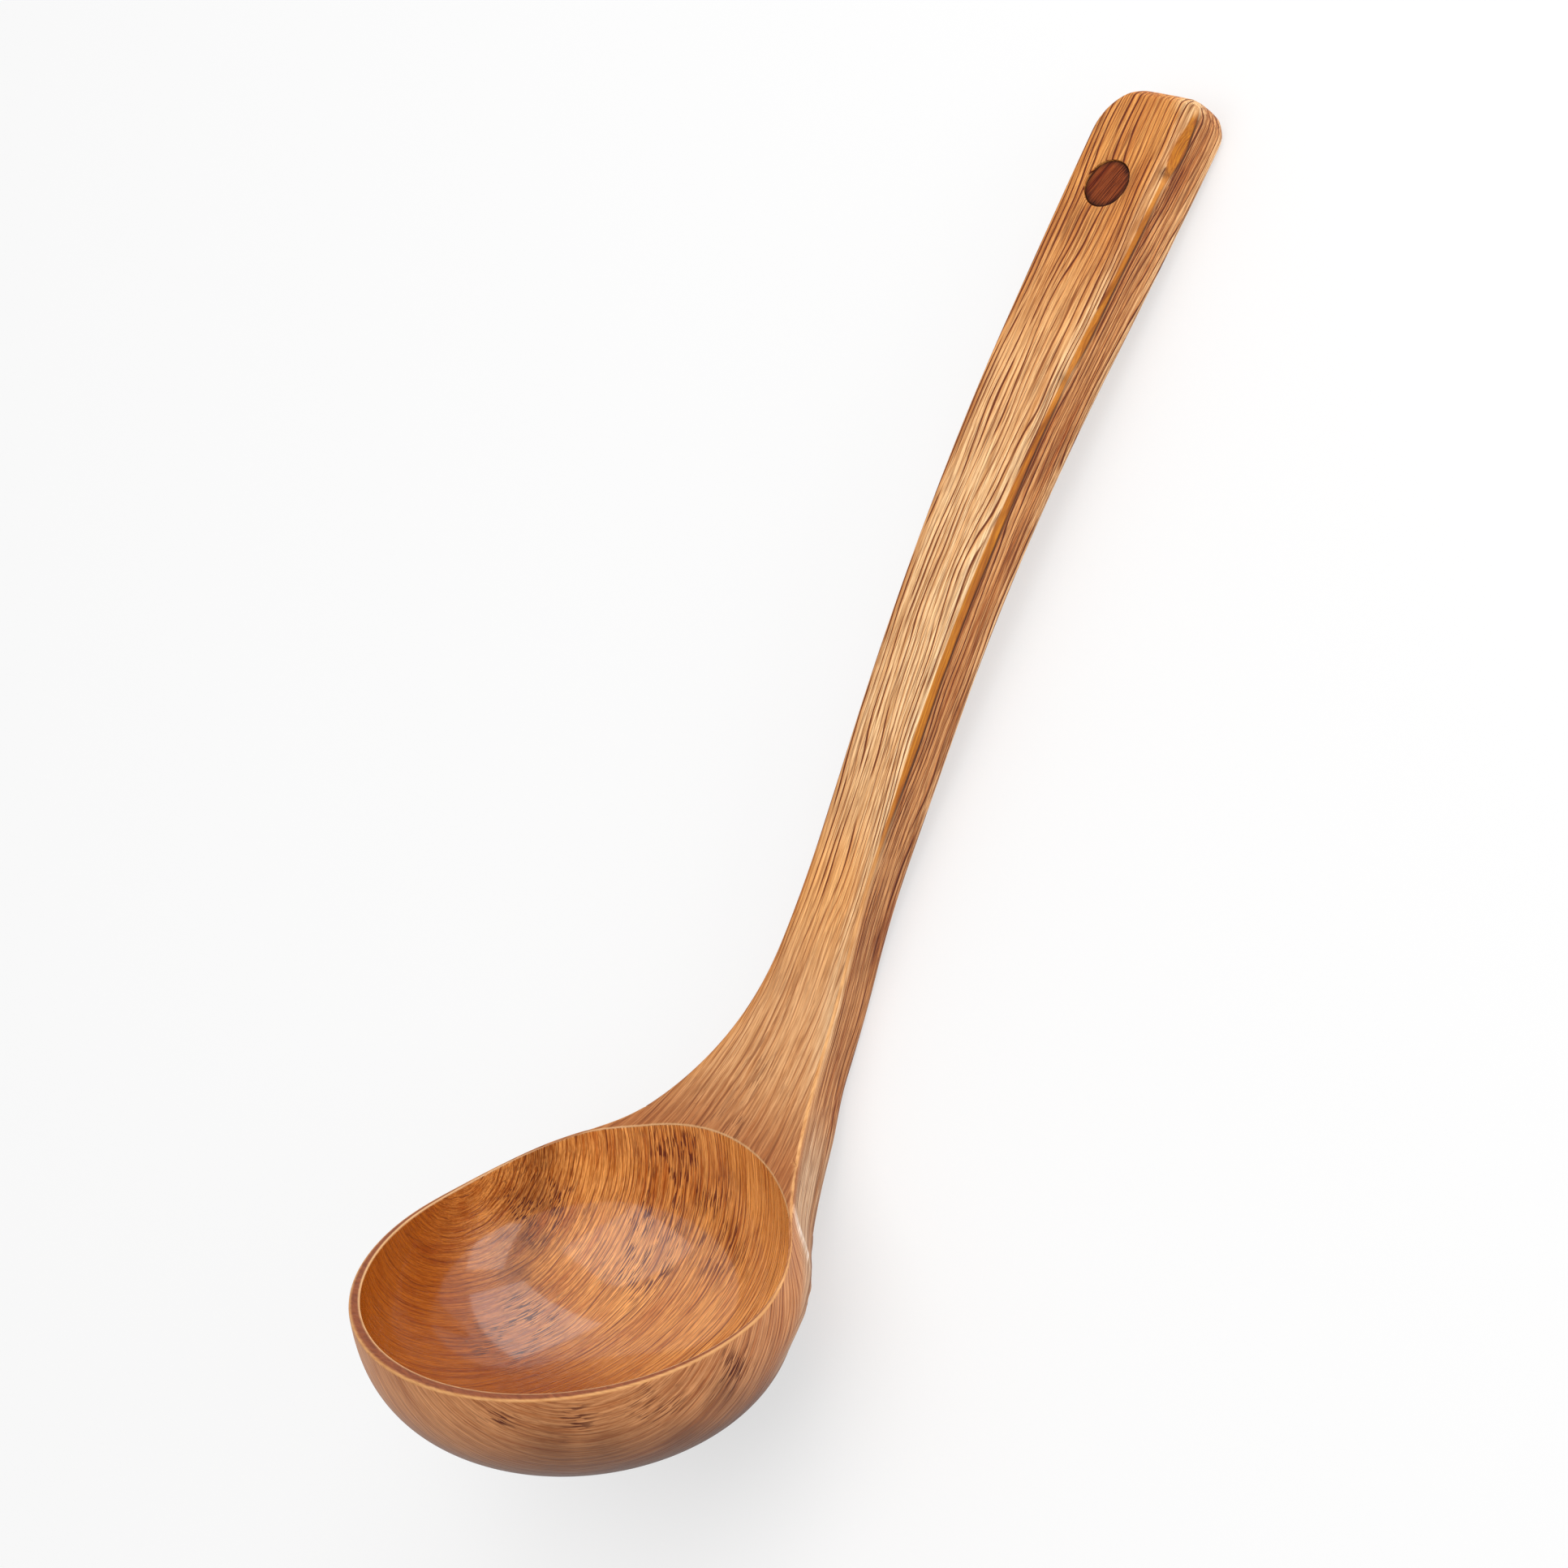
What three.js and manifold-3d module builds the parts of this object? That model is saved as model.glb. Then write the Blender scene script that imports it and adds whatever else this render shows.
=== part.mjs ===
// Wooden ladle: a hollowed bowl, a swept handle that is tenoned on to it, the peg that locks the
// joint and a dark plug in the bored end of the handle. Millimetres, +Z up. The ladle lies on a
// table, on the back of its bowl, the underside of its neck and the tip of its handle, with the
// origin under its middle.

import * as THREE from 'three';
import { mergeVertices } from 'three/addons/utils/BufferGeometryUtils.js';
import Module from 'manifold-3d';

const wasm = await Module();
wasm.setup();

// Bowl. Before the ladle is laid down, the rim lies in the plane Z = 0 with its centre at the
// origin and the handle towards +X.
const RIM_RADIUS = 45.2;
const RIM_WIDTH_FRONT = 2.6;
const RIM_WIDTH_SIDE = 1.6;
const BOWL_DEPTH = 35.5;
const BOWL_FLOOR = 4;
const BOWL_ROUNDNESS = 2.4;
const BOWL_FULLNESS = 2.8;
const BOWL_SETBACK = 5;
const HOLLOW_LEAN = THREE.MathUtils.degToRad(15);

// Handle. Its front face leaves the rim's plane in one sweep, runs straight, bends back a little
// and ends straight. Its plan flares on to the rim in one round fillet. Its tip is rounder on the
// left than on the right, as a hand-cut end is.
const SWEEP_START = 6.7;
const SWEEP_RADIUS = 88;
const NECK_ANGLE = THREE.MathUtils.degToRad(53.6);
const NECK_LENGTH = 44.2;
const BEND_LENGTH = 94;
const END_ANGLE = THREE.MathUtils.degToRad(42.1);
const END_LENGTH = 58;
const HANDLE_THICKNESS = 13;
const HANDLE_WIDTH_NARROW = 16.6;
const HANDLE_WIDTH_END = 24.2;
const FLARE_RADIUS = 88;
const TIP_RADIUS_LEFT = 11;
const TIP_RADIUS_RIGHT = 3;
const FRONT_EDGE_RADIUS = 1.2;
const BACK_EDGE_RADIUS = 2;
const REST_FLAT_DEPTH = 0.6;

// Joint between bowl and handle: a blind tenon on the bowl's heel, locked by a peg from behind.
const JOINT_GAP = 0.3;
const HEEL = 4.8;
const TENON_LENGTH = 28;
const TENON_WIDTH = 9;
const TENON_THICKNESS = 5.4;
const TENON_ROOT = 2;
const PEG_RADIUS = 2;
const PEG_FRONT_WALL = 2.2;

// Plug in the hole through the end of the handle.
const PLUG_RADIUS = 5.45;
const PLUG_FROM_END = 22.6;
const PLUG_OFF_CENTRE = 1.5;
const PLUG_INSET = 0.2;

// Fineness of the round shapes.
const ROUND_SIDES = 72;
const BOWL_LEVELS = 14;
const CORNER_STEPS = 2;
const NECK_STEP = 4.5;
const HANDLE_STEP = 10;
const TIP_STEPS = 6;
const SWEEP_STEPS = 40;
const PEG_SIDES = 20;
const PLUG_SIDES = 36;
const FACE_LINE_DIVISIONS = 2000;
const TILT_HALVINGS = 50;

const HONEY_WOOD = { color: 0xb5702e, roughness: 0.42, metalness: 0 };
const PALE_WOOD = { color: 0xcf9152, roughness: 0.48, metalness: 0 };
const PEG_WOOD = { color: 0xa9743c, roughness: 0.6, metalness: 0 };
const DARK_WOOD = { color: 0x5a2e17, roughness: 0.45, metalness: 0 };

function toSolid(geometry) {
  const bare = geometry.clone();
  bare.deleteAttribute('normal');
  bare.deleteAttribute('uv');
  const merged = mergeVertices(bare, 1e-5);
  return new wasm.Manifold(new wasm.Mesh({
    numProp: 3,
    vertProperties: new Float32Array(merged.attributes.position.array),
    triVerts: new Uint32Array(merged.index.array),
  }));
}

function toGeometry(solid) {
  const mesh = solid.getMesh();
  const geometry = new THREE.BufferGeometry();
  geometry.setAttribute('position', new THREE.BufferAttribute(mesh.vertProperties, 3));
  geometry.setIndex(new THREE.BufferAttribute(mesh.triVerts, 1));
  geometry.computeVertexNormals();
  return geometry;
}

// Skin through closed rings of equal length, with a fan of triangles over each end.
function loft(rings) {
  const count = rings[0].length;
  const points = rings.flat();
  const triangles = [];
  for (let ring = 0; ring + 1 < rings.length; ring += 1) {
    for (let i = 0; i < count; i += 1) {
      const a = ring * count + i;
      const b = ring * count + ((i + 1) % count);
      triangles.push(a, b, b + count, a, b + count, a + count);
    }
  }
  const last = (rings.length - 1) * count;
  const startHub = points.push(middle(rings[0])) - 1;
  const endHub = points.push(middle(rings[rings.length - 1])) - 1;
  for (let i = 0; i < count; i += 1) {
    const next = (i + 1) % count;
    triangles.push(startHub, next, i, endHub, last + i, last + next);
  }
  const geometry = new THREE.BufferGeometry().setFromPoints(points);
  geometry.setIndex(triangles);
  return geometry;
}

function middle(points) {
  const sum = points.reduce((total, point) => total.add(point), new THREE.Vector3());
  return sum.divideScalar(points.length);
}

// Face line: the middle of the handle's front face in the plane of symmetry, drawn as X and Z.
function makeFaceLine() {
  const line = new THREE.Path();
  line.absarc(SWEEP_START, SWEEP_RADIUS, SWEEP_RADIUS, -Math.PI / 2, NECK_ANGLE - Math.PI / 2, false);
  const bendRadius = BEND_LENGTH / (NECK_ANGLE - END_ANGLE);
  const neckEnd = line.currentPoint.clone().add(heading(NECK_ANGLE, NECK_LENGTH));
  line.lineTo(neckEnd.x, neckEnd.y);
  const bendCentre = neckEnd.clone().sub(facing(NECK_ANGLE, bendRadius));
  line.absarc(bendCentre.x, bendCentre.y, bendRadius, NECK_ANGLE + Math.PI / 2, END_ANGLE + Math.PI / 2, true);
  const tip = line.currentPoint.clone().add(heading(END_ANGLE, END_LENGTH));
  line.lineTo(tip.x, tip.y);
  line.arcLengthDivisions = FACE_LINE_DIVISIONS;
  return line;
}

function heading(angle, length) {
  return new THREE.Vector2(Math.cos(angle), Math.sin(angle)).multiplyScalar(length);
}

function facing(angle, length) {
  return new THREE.Vector2(-Math.sin(angle), Math.cos(angle)).multiplyScalar(length);
}

const faceLine = makeFaceLine();
const faceLength = faceLine.getLength();
const tipX = faceLine.getPointAt(1).x;
const sweepLength = SWEEP_RADIUS * NECK_ANGLE;

// Point at a distance along the face line and a depth behind the front face.
function behindFace(along, depth) {
  const u = along / faceLength;
  const point = faceLine.getPointAt(u);
  const tangent = faceLine.getTangentAt(u);
  return new THREE.Vector2(point.x + tangent.y * depth, point.y - tangent.x * depth);
}

// Plan outline: the rim's circle, the fillet that is tangent to it, and the tapering handle.
const flareCentreY = HANDLE_WIDTH_NARROW / 2 + FLARE_RADIUS;
const flareCentreX = Math.sqrt((RIM_RADIUS + FLARE_RADIUS) ** 2 - flareCentreY ** 2);
const flareStartX = (RIM_RADIUS * flareCentreX) / (RIM_RADIUS + FLARE_RADIUS);

function halfWidth(x) {
  if (x < flareStartX) {
    return Math.sqrt(RIM_RADIUS ** 2 - x ** 2);
  }
  if (x < flareCentreX) {
    return flareCentreY - Math.sqrt(FLARE_RADIUS ** 2 - (flareCentreX - x) ** 2);
  }
  const widening = THREE.MathUtils.smoothstep(x, flareCentreX, tipX);
  return THREE.MathUtils.lerp(HANDLE_WIDTH_NARROW, HANDLE_WIDTH_END, widening) / 2;
}

// Inset of a side where the tip's corner is rounded.
function tipInset(along, radius) {
  const intoCorner = along - (faceLength - radius);
  return intoCorner > 0 ? radius - Math.sqrt(Math.max(radius ** 2 - intoCorner ** 2, 0)) : 0;
}

// Section of the handle: a rectangle with rounded edges, square to the face line.
function handleSection(along) {
  const ring = [];
  const planHalf = halfWidth(behindFace(along, 0).x);
  const corners = [
    { side: -1, back: true, from: Math.PI },
    { side: 1, back: true, from: -Math.PI / 2 },
    { side: 1, back: false, from: 0 },
    { side: -1, back: false, from: Math.PI / 2 },
  ];
  for (const { side, back, from } of corners) {
    const radius = back ? BACK_EDGE_RADIUS : FRONT_EDGE_RADIUS;
    const half = planHalf - tipInset(along, side > 0 ? TIP_RADIUS_LEFT : TIP_RADIUS_RIGHT);
    const round = Math.min(radius, half / 2);
    const centreDepth = back ? HANDLE_THICKNESS - radius : radius;
    for (let step = 0; step <= CORNER_STEPS; step += 1) {
      const turn = from + (step / CORNER_STEPS) * (Math.PI / 2);
      const point = behindFace(along, centreDepth - radius * Math.sin(turn));
      const y = side * (half - round) + round * Math.cos(turn);
      ring.push(new THREE.Vector3(point.x, y, point.y));
    }
  }
  return ring;
}

// Distances along the face line at which the handle gets a section.
function handleStations() {
  const start = SWEEP_RADIUS * Math.asin((flareStartX - JOINT_GAP - SWEEP_START) / SWEEP_RADIUS);
  const stations = [];
  const tipRadius = Math.max(TIP_RADIUS_LEFT, TIP_RADIUS_RIGHT);
  const spread = (from, to, step) => {
    const pieces = Math.ceil((to - from) / step);
    for (let i = 0; i < pieces; i += 1) {
      stations.push(from + ((to - from) * i) / pieces);
    }
  };
  spread(start, sweepLength, NECK_STEP);
  spread(sweepLength, sweepLength + NECK_LENGTH, HANDLE_STEP);
  spread(sweepLength + NECK_LENGTH, faceLength - END_LENGTH, HANDLE_STEP);
  spread(faceLength - END_LENGTH, faceLength - tipRadius, HANDLE_STEP);
  for (let i = 0; i <= TIP_STEPS; i += 1) {
    stations.push(faceLength - tipRadius * (1 - Math.sin(((i / TIP_STEPS) * Math.PI) / 2)));
  }
  return stations;
}

// Bowl shape: a round dish with full sides, whose lowest point is set back towards the handle.
// Above its rim it goes on as a wall that leans outwards.
function dish({ halfLength, halfBreadth, depth, setback, lean, wallHeight }) {
  const rings = [];
  const ringAt = (scale, shift, z, grow) => {
    const ring = [];
    for (let i = 0; i < ROUND_SIDES; i += 1) {
      const turn = (2 * Math.PI * i) / ROUND_SIDES;
      const x = (halfLength * scale + grow) * Math.cos(turn) + shift;
      const y = (halfBreadth * scale + grow) * Math.sin(turn);
      ring.push(new THREE.Vector3(x, y, z));
    }
    return ring;
  };
  for (let level = BOWL_LEVELS - 1; level >= 0; level -= 1) {
    const fall = (level / BOWL_LEVELS) * (Math.PI / 2);
    const scale = Math.cos(fall) ** (2 / BOWL_ROUNDNESS);
    const drop = Math.sin(fall) ** (2 / BOWL_FULLNESS);
    rings.push(ringAt(scale, setback * drop ** 2, -depth * drop, 0));
  }
  rings.push(ringAt(1, 0, wallHeight, wallHeight * Math.tan(lean)));
  return loft(rings);
}

// Everything above the rim's plane and above the sweep that carries it up into the neck.
function aboveRim(height) {
  const reach = RIM_RADIUS + HEEL + JOINT_GAP;
  const outline = new THREE.Shape();
  outline.moveTo(-2 * reach, 0);
  outline.lineTo(SWEEP_START, 0);
  outline.absarc(SWEEP_START, SWEEP_RADIUS, SWEEP_RADIUS, -Math.PI / 2, NECK_ANGLE - Math.PI / 2, false);
  outline.lineTo(outline.currentPoint.x, height);
  outline.lineTo(-2 * reach, height);
  const block = new THREE.ExtrudeGeometry(outline, {
    depth: 4 * reach,
    bevelEnabled: false,
    curveSegments: SWEEP_STEPS,
  });
  return block.rotateX(Math.PI / 2).translate(0, 2 * reach, 0);
}

// Upright cylinder on the rim's axis, whose side is the seam between bowl and handle.
function copeCylinder(radius) {
  const height = 2 * (SWEEP_RADIUS + HANDLE_THICKNESS);
  return new THREE.CylinderGeometry(radius, radius, height, ROUND_SIDES).rotateX(Math.PI / 2);
}

// Placement of the tenon: along the sweep, half way through the handle's thickness.
const copeRadius = RIM_RADIUS + HEEL;
const midRadius = SWEEP_RADIUS + HANDLE_THICKNESS / 2;
const copeTurn = Math.asin((copeRadius - SWEEP_START) / midRadius);
const tenonTurn = copeTurn + TENON_LENGTH / (2 * midRadius);
const tenonMiddle = behindFace(SWEEP_RADIUS * tenonTurn, HANDLE_THICKNESS / 2);

function placeOnTenon(geometry) {
  return geometry.rotateY(-tenonTurn).translate(tenonMiddle.x, 0, tenonMiddle.y);
}

function tenonBlock(clearance) {
  const length = TENON_LENGTH + TENON_ROOT + clearance;
  const block = new THREE.BoxGeometry(length, TENON_WIDTH + 2 * clearance, TENON_THICKNESS + 2 * clearance);
  block.translate((clearance - TENON_ROOT) / 2, 0, 0);
  return placeOnTenon(block);
}

// Peg, square to the handle's back at the middle of the tenon.
function pegRod(clearance, proud) {
  const top = HANDLE_THICKNESS / 2 - PEG_FRONT_WALL + clearance;
  const bottom = -HANDLE_THICKNESS / 2 - proud;
  const radius = PEG_RADIUS + clearance;
  const rod = new THREE.CylinderGeometry(radius, radius, top - bottom, PEG_SIDES);
  rod.rotateX(Math.PI / 2).translate(0, 0, (top + bottom) / 2);
  return placeOnTenon(rod);
}

// Plug, square to the handle's front face.
function plugRod(clearance, proud) {
  const along = faceLength - PLUG_FROM_END;
  const centre = behindFace(along, HANDLE_THICKNESS / 2);
  const radius = PLUG_RADIUS + clearance;
  const rod = new THREE.CylinderGeometry(radius, radius, HANDLE_THICKNESS + 2 * proud, PLUG_SIDES);
  return rod.rotateX(Math.PI / 2).rotateY(-END_ANGLE).translate(centre.x, PLUG_OFF_CENTRE, centre.y);
}

// Lowest height that a geometry reaches once the ladle is tipped back by an angle.
function lowest(geometry, tilt) {
  const position = geometry.attributes.position;
  let low = Infinity;
  for (let i = 0; i < position.count; i += 1) {
    low = Math.min(low, position.getZ(i) * Math.cos(tilt) - position.getX(i) * Math.sin(tilt));
  }
  return low;
}

// Tilt at which the bowl rests on the table while the handle dips below it by the flats' depth.
function restingTilt(bowlGeometry, handleGeometry) {
  let low = 0;
  let high = Math.PI / 2;
  for (let i = 0; i < TILT_HALVINGS; i += 1) {
    const tilt = (low + high) / 2;
    const dip = lowest(bowlGeometry, tilt) - lowest(handleGeometry, tilt);
    if (dip < REST_FLAT_DEPTH) {
      low = tilt;
    } else {
      high = tilt;
    }
  }
  return (low + high) / 2;
}

// Everything below the table, in the frame of the ladle before it is laid down.
function belowTable(tilt, height) {
  const reach = 4 * (faceLength + RIM_RADIUS);
  const block = new THREE.BoxGeometry(reach, reach, reach);
  return block.translate(0, 0, height - reach / 2).rotateY(-tilt);
}

const strip = toSolid(loft(handleStations().map(handleSection)));
const peg = toSolid(pegRod(0, -PLUG_INSET));
const pegHole = toSolid(pegRod(JOINT_GAP, HANDLE_THICKNESS));

const wallHeight = HANDLE_THICKNESS + HEEL;
const outerDish = toSolid(dish({
  halfLength: RIM_RADIUS,
  halfBreadth: RIM_RADIUS,
  depth: BOWL_DEPTH,
  setback: BOWL_SETBACK,
  lean: 0,
  wallHeight,
}));
const hollow = toSolid(dish({
  halfLength: RIM_RADIUS - RIM_WIDTH_FRONT,
  halfBreadth: RIM_RADIUS - RIM_WIDTH_SIDE,
  depth: BOWL_DEPTH - BOWL_FLOOR,
  setback: BOWL_SETBACK,
  lean: HOLLOW_LEAN,
  wallHeight: 2 * wallHeight,
}));
const bowl = outerDish
  .subtract(toSolid(aboveRim(3 * wallHeight)))
  .add(strip.intersect(toSolid(copeCylinder(copeRadius))))
  .add(toSolid(tenonBlock(0)))
  .subtract(hollow)
  .subtract(pegHole);

const fullHandle = strip
  .subtract(toSolid(copeCylinder(copeRadius + JOINT_GAP)))
  .subtract(toSolid(tenonBlock(JOINT_GAP)))
  .subtract(pegHole)
  .subtract(toSolid(plugRod(JOINT_GAP, HANDLE_THICKNESS)));

const bowlGeometry = toGeometry(bowl);
const tilt = restingTilt(bowlGeometry, toGeometry(fullHandle));
const tableHeight = lowest(bowlGeometry, tilt);
const handle = fullHandle.subtract(toSolid(belowTable(tilt, tableHeight)));

function addPiece(group, name, geometry, finish) {
  const piece = new THREE.Mesh(geometry, new THREE.MeshStandardMaterial(finish));
  piece.name = name;
  group.add(piece);
}

const ladle = new THREE.Group();
addPiece(ladle, 'bowl', bowlGeometry, HONEY_WOOD);
addPiece(ladle, 'handle', toGeometry(handle), PALE_WOOD);
addPiece(ladle, 'joint_peg', toGeometry(peg), PEG_WOOD);
addPiece(ladle, 'hole_plug', toGeometry(toSolid(plugRod(0, -PLUG_INSET))), DARK_WOOD);
ladle.rotation.y = tilt;

// Lay the ladle down with its lowest point on Z = 0 and its middle over the origin.
const part = new THREE.Group();
part.add(ladle);
part.updateMatrixWorld(true);
const box = new THREE.Box3().setFromObject(ladle, true);
const centre = box.getCenter(new THREE.Vector3());
ladle.position.set(-centre.x, -centre.y, -box.min.z);
part.updateMatrixWorld(true);

export default part;
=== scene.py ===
# %% [markdown]
# # A wooden ladle
# This lesson builds a carved wooden ladle for a part library. A measured model of the ladle already
# exists as a plain frame: a bowl, a handle, a hidden peg and a dark plug. Here each of them gets a
# finely shaped mesh and an oiled wood finish, in the same place and at the same size.
#
# ## Load the measured frame
# The frame comes in metres with the ladle lying on its back.

import bmesh
import bpy
import numpy as np
from mathutils import Matrix, Vector


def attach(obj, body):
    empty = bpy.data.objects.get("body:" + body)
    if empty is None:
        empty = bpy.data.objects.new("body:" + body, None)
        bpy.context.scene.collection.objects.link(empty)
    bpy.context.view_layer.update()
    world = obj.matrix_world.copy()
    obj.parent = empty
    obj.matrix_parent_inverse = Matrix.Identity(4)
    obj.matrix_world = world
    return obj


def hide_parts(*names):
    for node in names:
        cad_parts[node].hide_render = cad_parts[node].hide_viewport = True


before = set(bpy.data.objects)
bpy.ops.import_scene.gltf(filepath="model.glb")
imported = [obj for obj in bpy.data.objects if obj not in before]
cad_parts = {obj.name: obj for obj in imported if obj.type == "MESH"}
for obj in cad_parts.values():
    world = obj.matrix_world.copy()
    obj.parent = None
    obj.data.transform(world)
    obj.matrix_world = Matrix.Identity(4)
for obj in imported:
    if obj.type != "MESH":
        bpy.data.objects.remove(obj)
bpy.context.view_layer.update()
scene = bpy.context.scene
scene.view_settings.view_transform = "Standard"
print("frame:", sorted(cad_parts))

# %% [markdown]
# ## Camera
# The ladle is seen from above its right side, with the camera rolled so that the handle points up in
# the picture. A long lens keeps the perspective weak. The camera could be turned by three angles, but
# its place, where it looks and what is up in the picture are easier to picture and to change.

# %% Camera
LENS, SENSOR = 114.22, 36  # millimetres
EYE = (-0.08486, -0.66488, 0.80008)  # metres
LOOK, UP = Vector((0.07532, 0.65690, -0.75021)), Vector((0.92637, 0.23231, 0.29642))
camera_data = bpy.data.cameras.new("camera")
camera_data.sensor_fit = "HORIZONTAL"
camera_data.sensor_width = SENSOR
camera_data.lens = LENS
camera = bpy.data.objects.new("camera", camera_data)
scene.collection.objects.link(camera)
look = LOOK.normalized()
right = look.cross(UP).normalized()
up = right.cross(look)
turned = Matrix((right, up, -look)).transposed().to_4x4()
camera.matrix_world = Matrix.Translation(EYE) @ turned
scene.camera = camera
print("camera at", [round(v, 3) for v in camera.location], "lens", LENS)

# %% [markdown]
# ## Sizes of the ladle
# A carver would draw the ladle upright: the rim lies flat, its centre is the origin, and the handle
# leaves it towards +X. All sizes are in millimetres. The front face of the handle is one line in the
# side view. It sweeps up from the rim, runs straight along the neck, bends back a little and ends
# straight, so a short list of lengths and slopes gives it. The plan is the rim's circle, a flare on
# each side, and a handle that widens towards its tip.

# %% Sizes
RIM = 45.2  # radius of the rim
EDGE_CENTRE, EDGE_RADIUS = 1.39, 43.89  # circle of the hollow's edge, a little towards the handle
DEPTH, FLOOR = 35.5, 4.0  # depth of the bowl, and the wood under its hollow
ROUNDNESS, FULLNESS, SETBACK = 2.4, 2.8, 5.0  # curve of the dish, shift of its bottom to the handle
SWEEP_START, SWEEP = 6.7, 88.0  # where the face starts to rise, and the radius of its sweep
NECK_SLOPE, END_SLOPE = np.radians(53.6), np.radians(42.1)
NECK_LENGTH, BEND_LENGTH, END_LENGTH = 44.2, 94, 58
THICK = 13.0  # the handle from face to back
NARROW, WIDE, FLARE = 16.6, 24.2, 88.0  # width at the neck and at the tip, radius of the flare
SEAM = 50.0  # radius of the upright cylinder on which bowl and handle meet
TILT = np.radians(47.63)  # from upright to lying on its back
STAND = np.array([-116.177, 0, 46.155])  # place of the rim's centre when the ladle lies
LINE_LENGTHS = np.cumsum([0, SWEEP * NECK_SLOPE, NECK_LENGTH, BEND_LENGTH, END_LENGTH])
LINE_ANGLES = np.array([0, NECK_SLOPE, NECK_SLOPE, END_SLOPE, END_SLOPE])
LENGTH = LINE_LENGTHS[-1]
print("face line", round(LENGTH, 1), "mm")

# %% Face line and plan
FINE_POINTS = 6001  # short steps, so that their sum follows the curve
fine = np.linspace(0, LENGTH, FINE_POINTS)
slope = np.interp(fine, LINE_LENGTHS, LINE_ANGLES)
step = fine[1]
middle_slope = (slope[1:] + slope[:-1]) / 2
fine_x = SWEEP_START + np.concatenate([[0], np.cumsum(np.cos(middle_slope) * step)])
fine_z = np.concatenate([[0], np.cumsum(np.sin(middle_slope) * step)])
flare_y = NARROW / 2 + FLARE
flare_x = np.sqrt((RIM + FLARE) ** 2 - flare_y ** 2)
flare_start = RIM * flare_x / (RIM + FLARE)


def smoothstep(low, high, value):
    """Rise from 0 at low to 1 at high, with soft ends."""
    t = np.clip((value - low) / (high - low), 0, 1)
    return t * t * (3 - 2 * t)


def half_width(x):
    """Half the width of the ladle's plan at x: rim, flare, then the widening handle."""
    rim = np.sqrt(np.maximum(RIM ** 2 - x ** 2, 0))
    flare = flare_y - np.sqrt(np.maximum(FLARE ** 2 - (flare_x - x) ** 2, 0))
    handle = (NARROW + (WIDE - NARROW) * smoothstep(flare_x, fine_x[-1], x)) / 2
    return np.where(x < flare_start, rim, np.where(x < flare_x, flare, handle))


def face_height(x):
    """Height of the top face over the rim's plane."""
    reach = np.clip(x - SWEEP_START, 0, SWEEP * 0.99)
    return SWEEP - np.sqrt(SWEEP ** 2 - reach ** 2)


def bend(along, across, depth):
    """Carry a straight strip's coordinates on to the curved handle."""
    angle = np.interp(along, LINE_LENGTHS, LINE_ANGLES)
    x = np.interp(along, fine, fine_x) + np.sin(angle) * depth
    z = np.interp(along, fine, fine_z) - np.cos(angle) * depth
    return np.stack(np.broadcast_arrays(x, across, z), -1)


def lay_down(points):
    """Turn the upright ladle on to its back and change millimetres to metres."""
    turned = np.array(points, float)
    x, z = points[..., 0], points[..., 2]
    turned[..., 0] = np.cos(TILT) * x + np.sin(TILT) * z
    turned[..., 2] = np.cos(TILT) * z - np.sin(TILT) * x
    turned += STAND
    turned[..., 2] = np.maximum(turned[..., 2], 0)
    return turned / 1000


print("flare starts at x =", round(flare_start, 1))

# %% [markdown]
# ## Grain that follows the shape
# Wood looks right when its lines follow the piece. So each point of the mesh carries its place in the
# wood: how far along the fibres it lies, how far across them, and how deep. On the handle that is
# simply the straight strip before it is bent. On the face the fibres fan out a little towards the rim,
# and on the sides they follow the edges.
#
# In the hollow the growth layers stand upright and nearly in line with the handle, so they cut the
# walls in nested arcs. On the outside the arcs lie round the front left of the bowl. Angles about the
# bowl's middle give both, evenly spaced up to the walls.
#
# Every point also carries a tint, the wood's own colour there, and a force: how strong the tones, the
# pores and the lines are. An image could hold all this too, but values on the points need no
# unwrapping, and a change of shape carries them along.

# %% Helpers for colour and grain
FAN = 0.45  # how far the fibres of the face follow its widening
BOWL_MIDDLE = (3, 0, 2)


def tint(code):
    """Colour as written on a paint card, changed by the sRGB rule to the linear numbers of shading."""
    values = np.array([int(code[i:i + 2], 16) for i in (0, 2, 4)]) / 255
    return np.where(values <= 0.04045, values / 12.92, ((values + 0.055) / 1.055) ** 2.4)


def mix(first, second, share):
    """Blend two colours, or fields of colours, by a share from 0 to 1."""
    share = np.asarray(share)[..., None]
    return first * (1 - share) + second * share


def hump(value, centre, size):
    """1 at the centre, fading to nothing within about twice the size."""
    return np.exp(-((value - centre) / size) ** 2)


def on_side(depth):
    """0 on the face of the strip and 1 on its sides."""
    return smoothstep(0.9, 2.2, depth)


def strip_grain(along, across, depth):
    """Place in the strip, whose fibres fan out a little on the face and follow the sides."""
    x = np.interp(along, fine, fine_x)
    fan = FAN + (1 - FAN) * on_side(depth)
    across = across * (NARROW / 2 / half_width(x)) ** fan
    return np.stack(np.broadcast_arrays(along, across, depth), -1)


def round_grain(points, axis, radius):
    """Place in a block whose layers are cut as circles about an axis through the bowl's middle."""
    axis = np.array(axis) / np.linalg.norm(axis)
    side = np.cross(axis, (0, 0, 1.0))
    side /= np.linalg.norm(side)
    away = points - BOWL_MIDDLE
    away = away / np.linalg.norm(away, axis=-1, keepdims=True)
    turn = np.arctan2(away @ side, away @ np.cross(axis, side))
    across = np.arcsin(np.clip(away @ axis, -1, 1))
    return np.stack([radius * turn, radius * across, np.zeros_like(turn)], -1)


print("fibres at the seam fan out to", round(float(half_width(SEAM) / (NARROW / 2)) ** FAN, 2))

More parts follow.
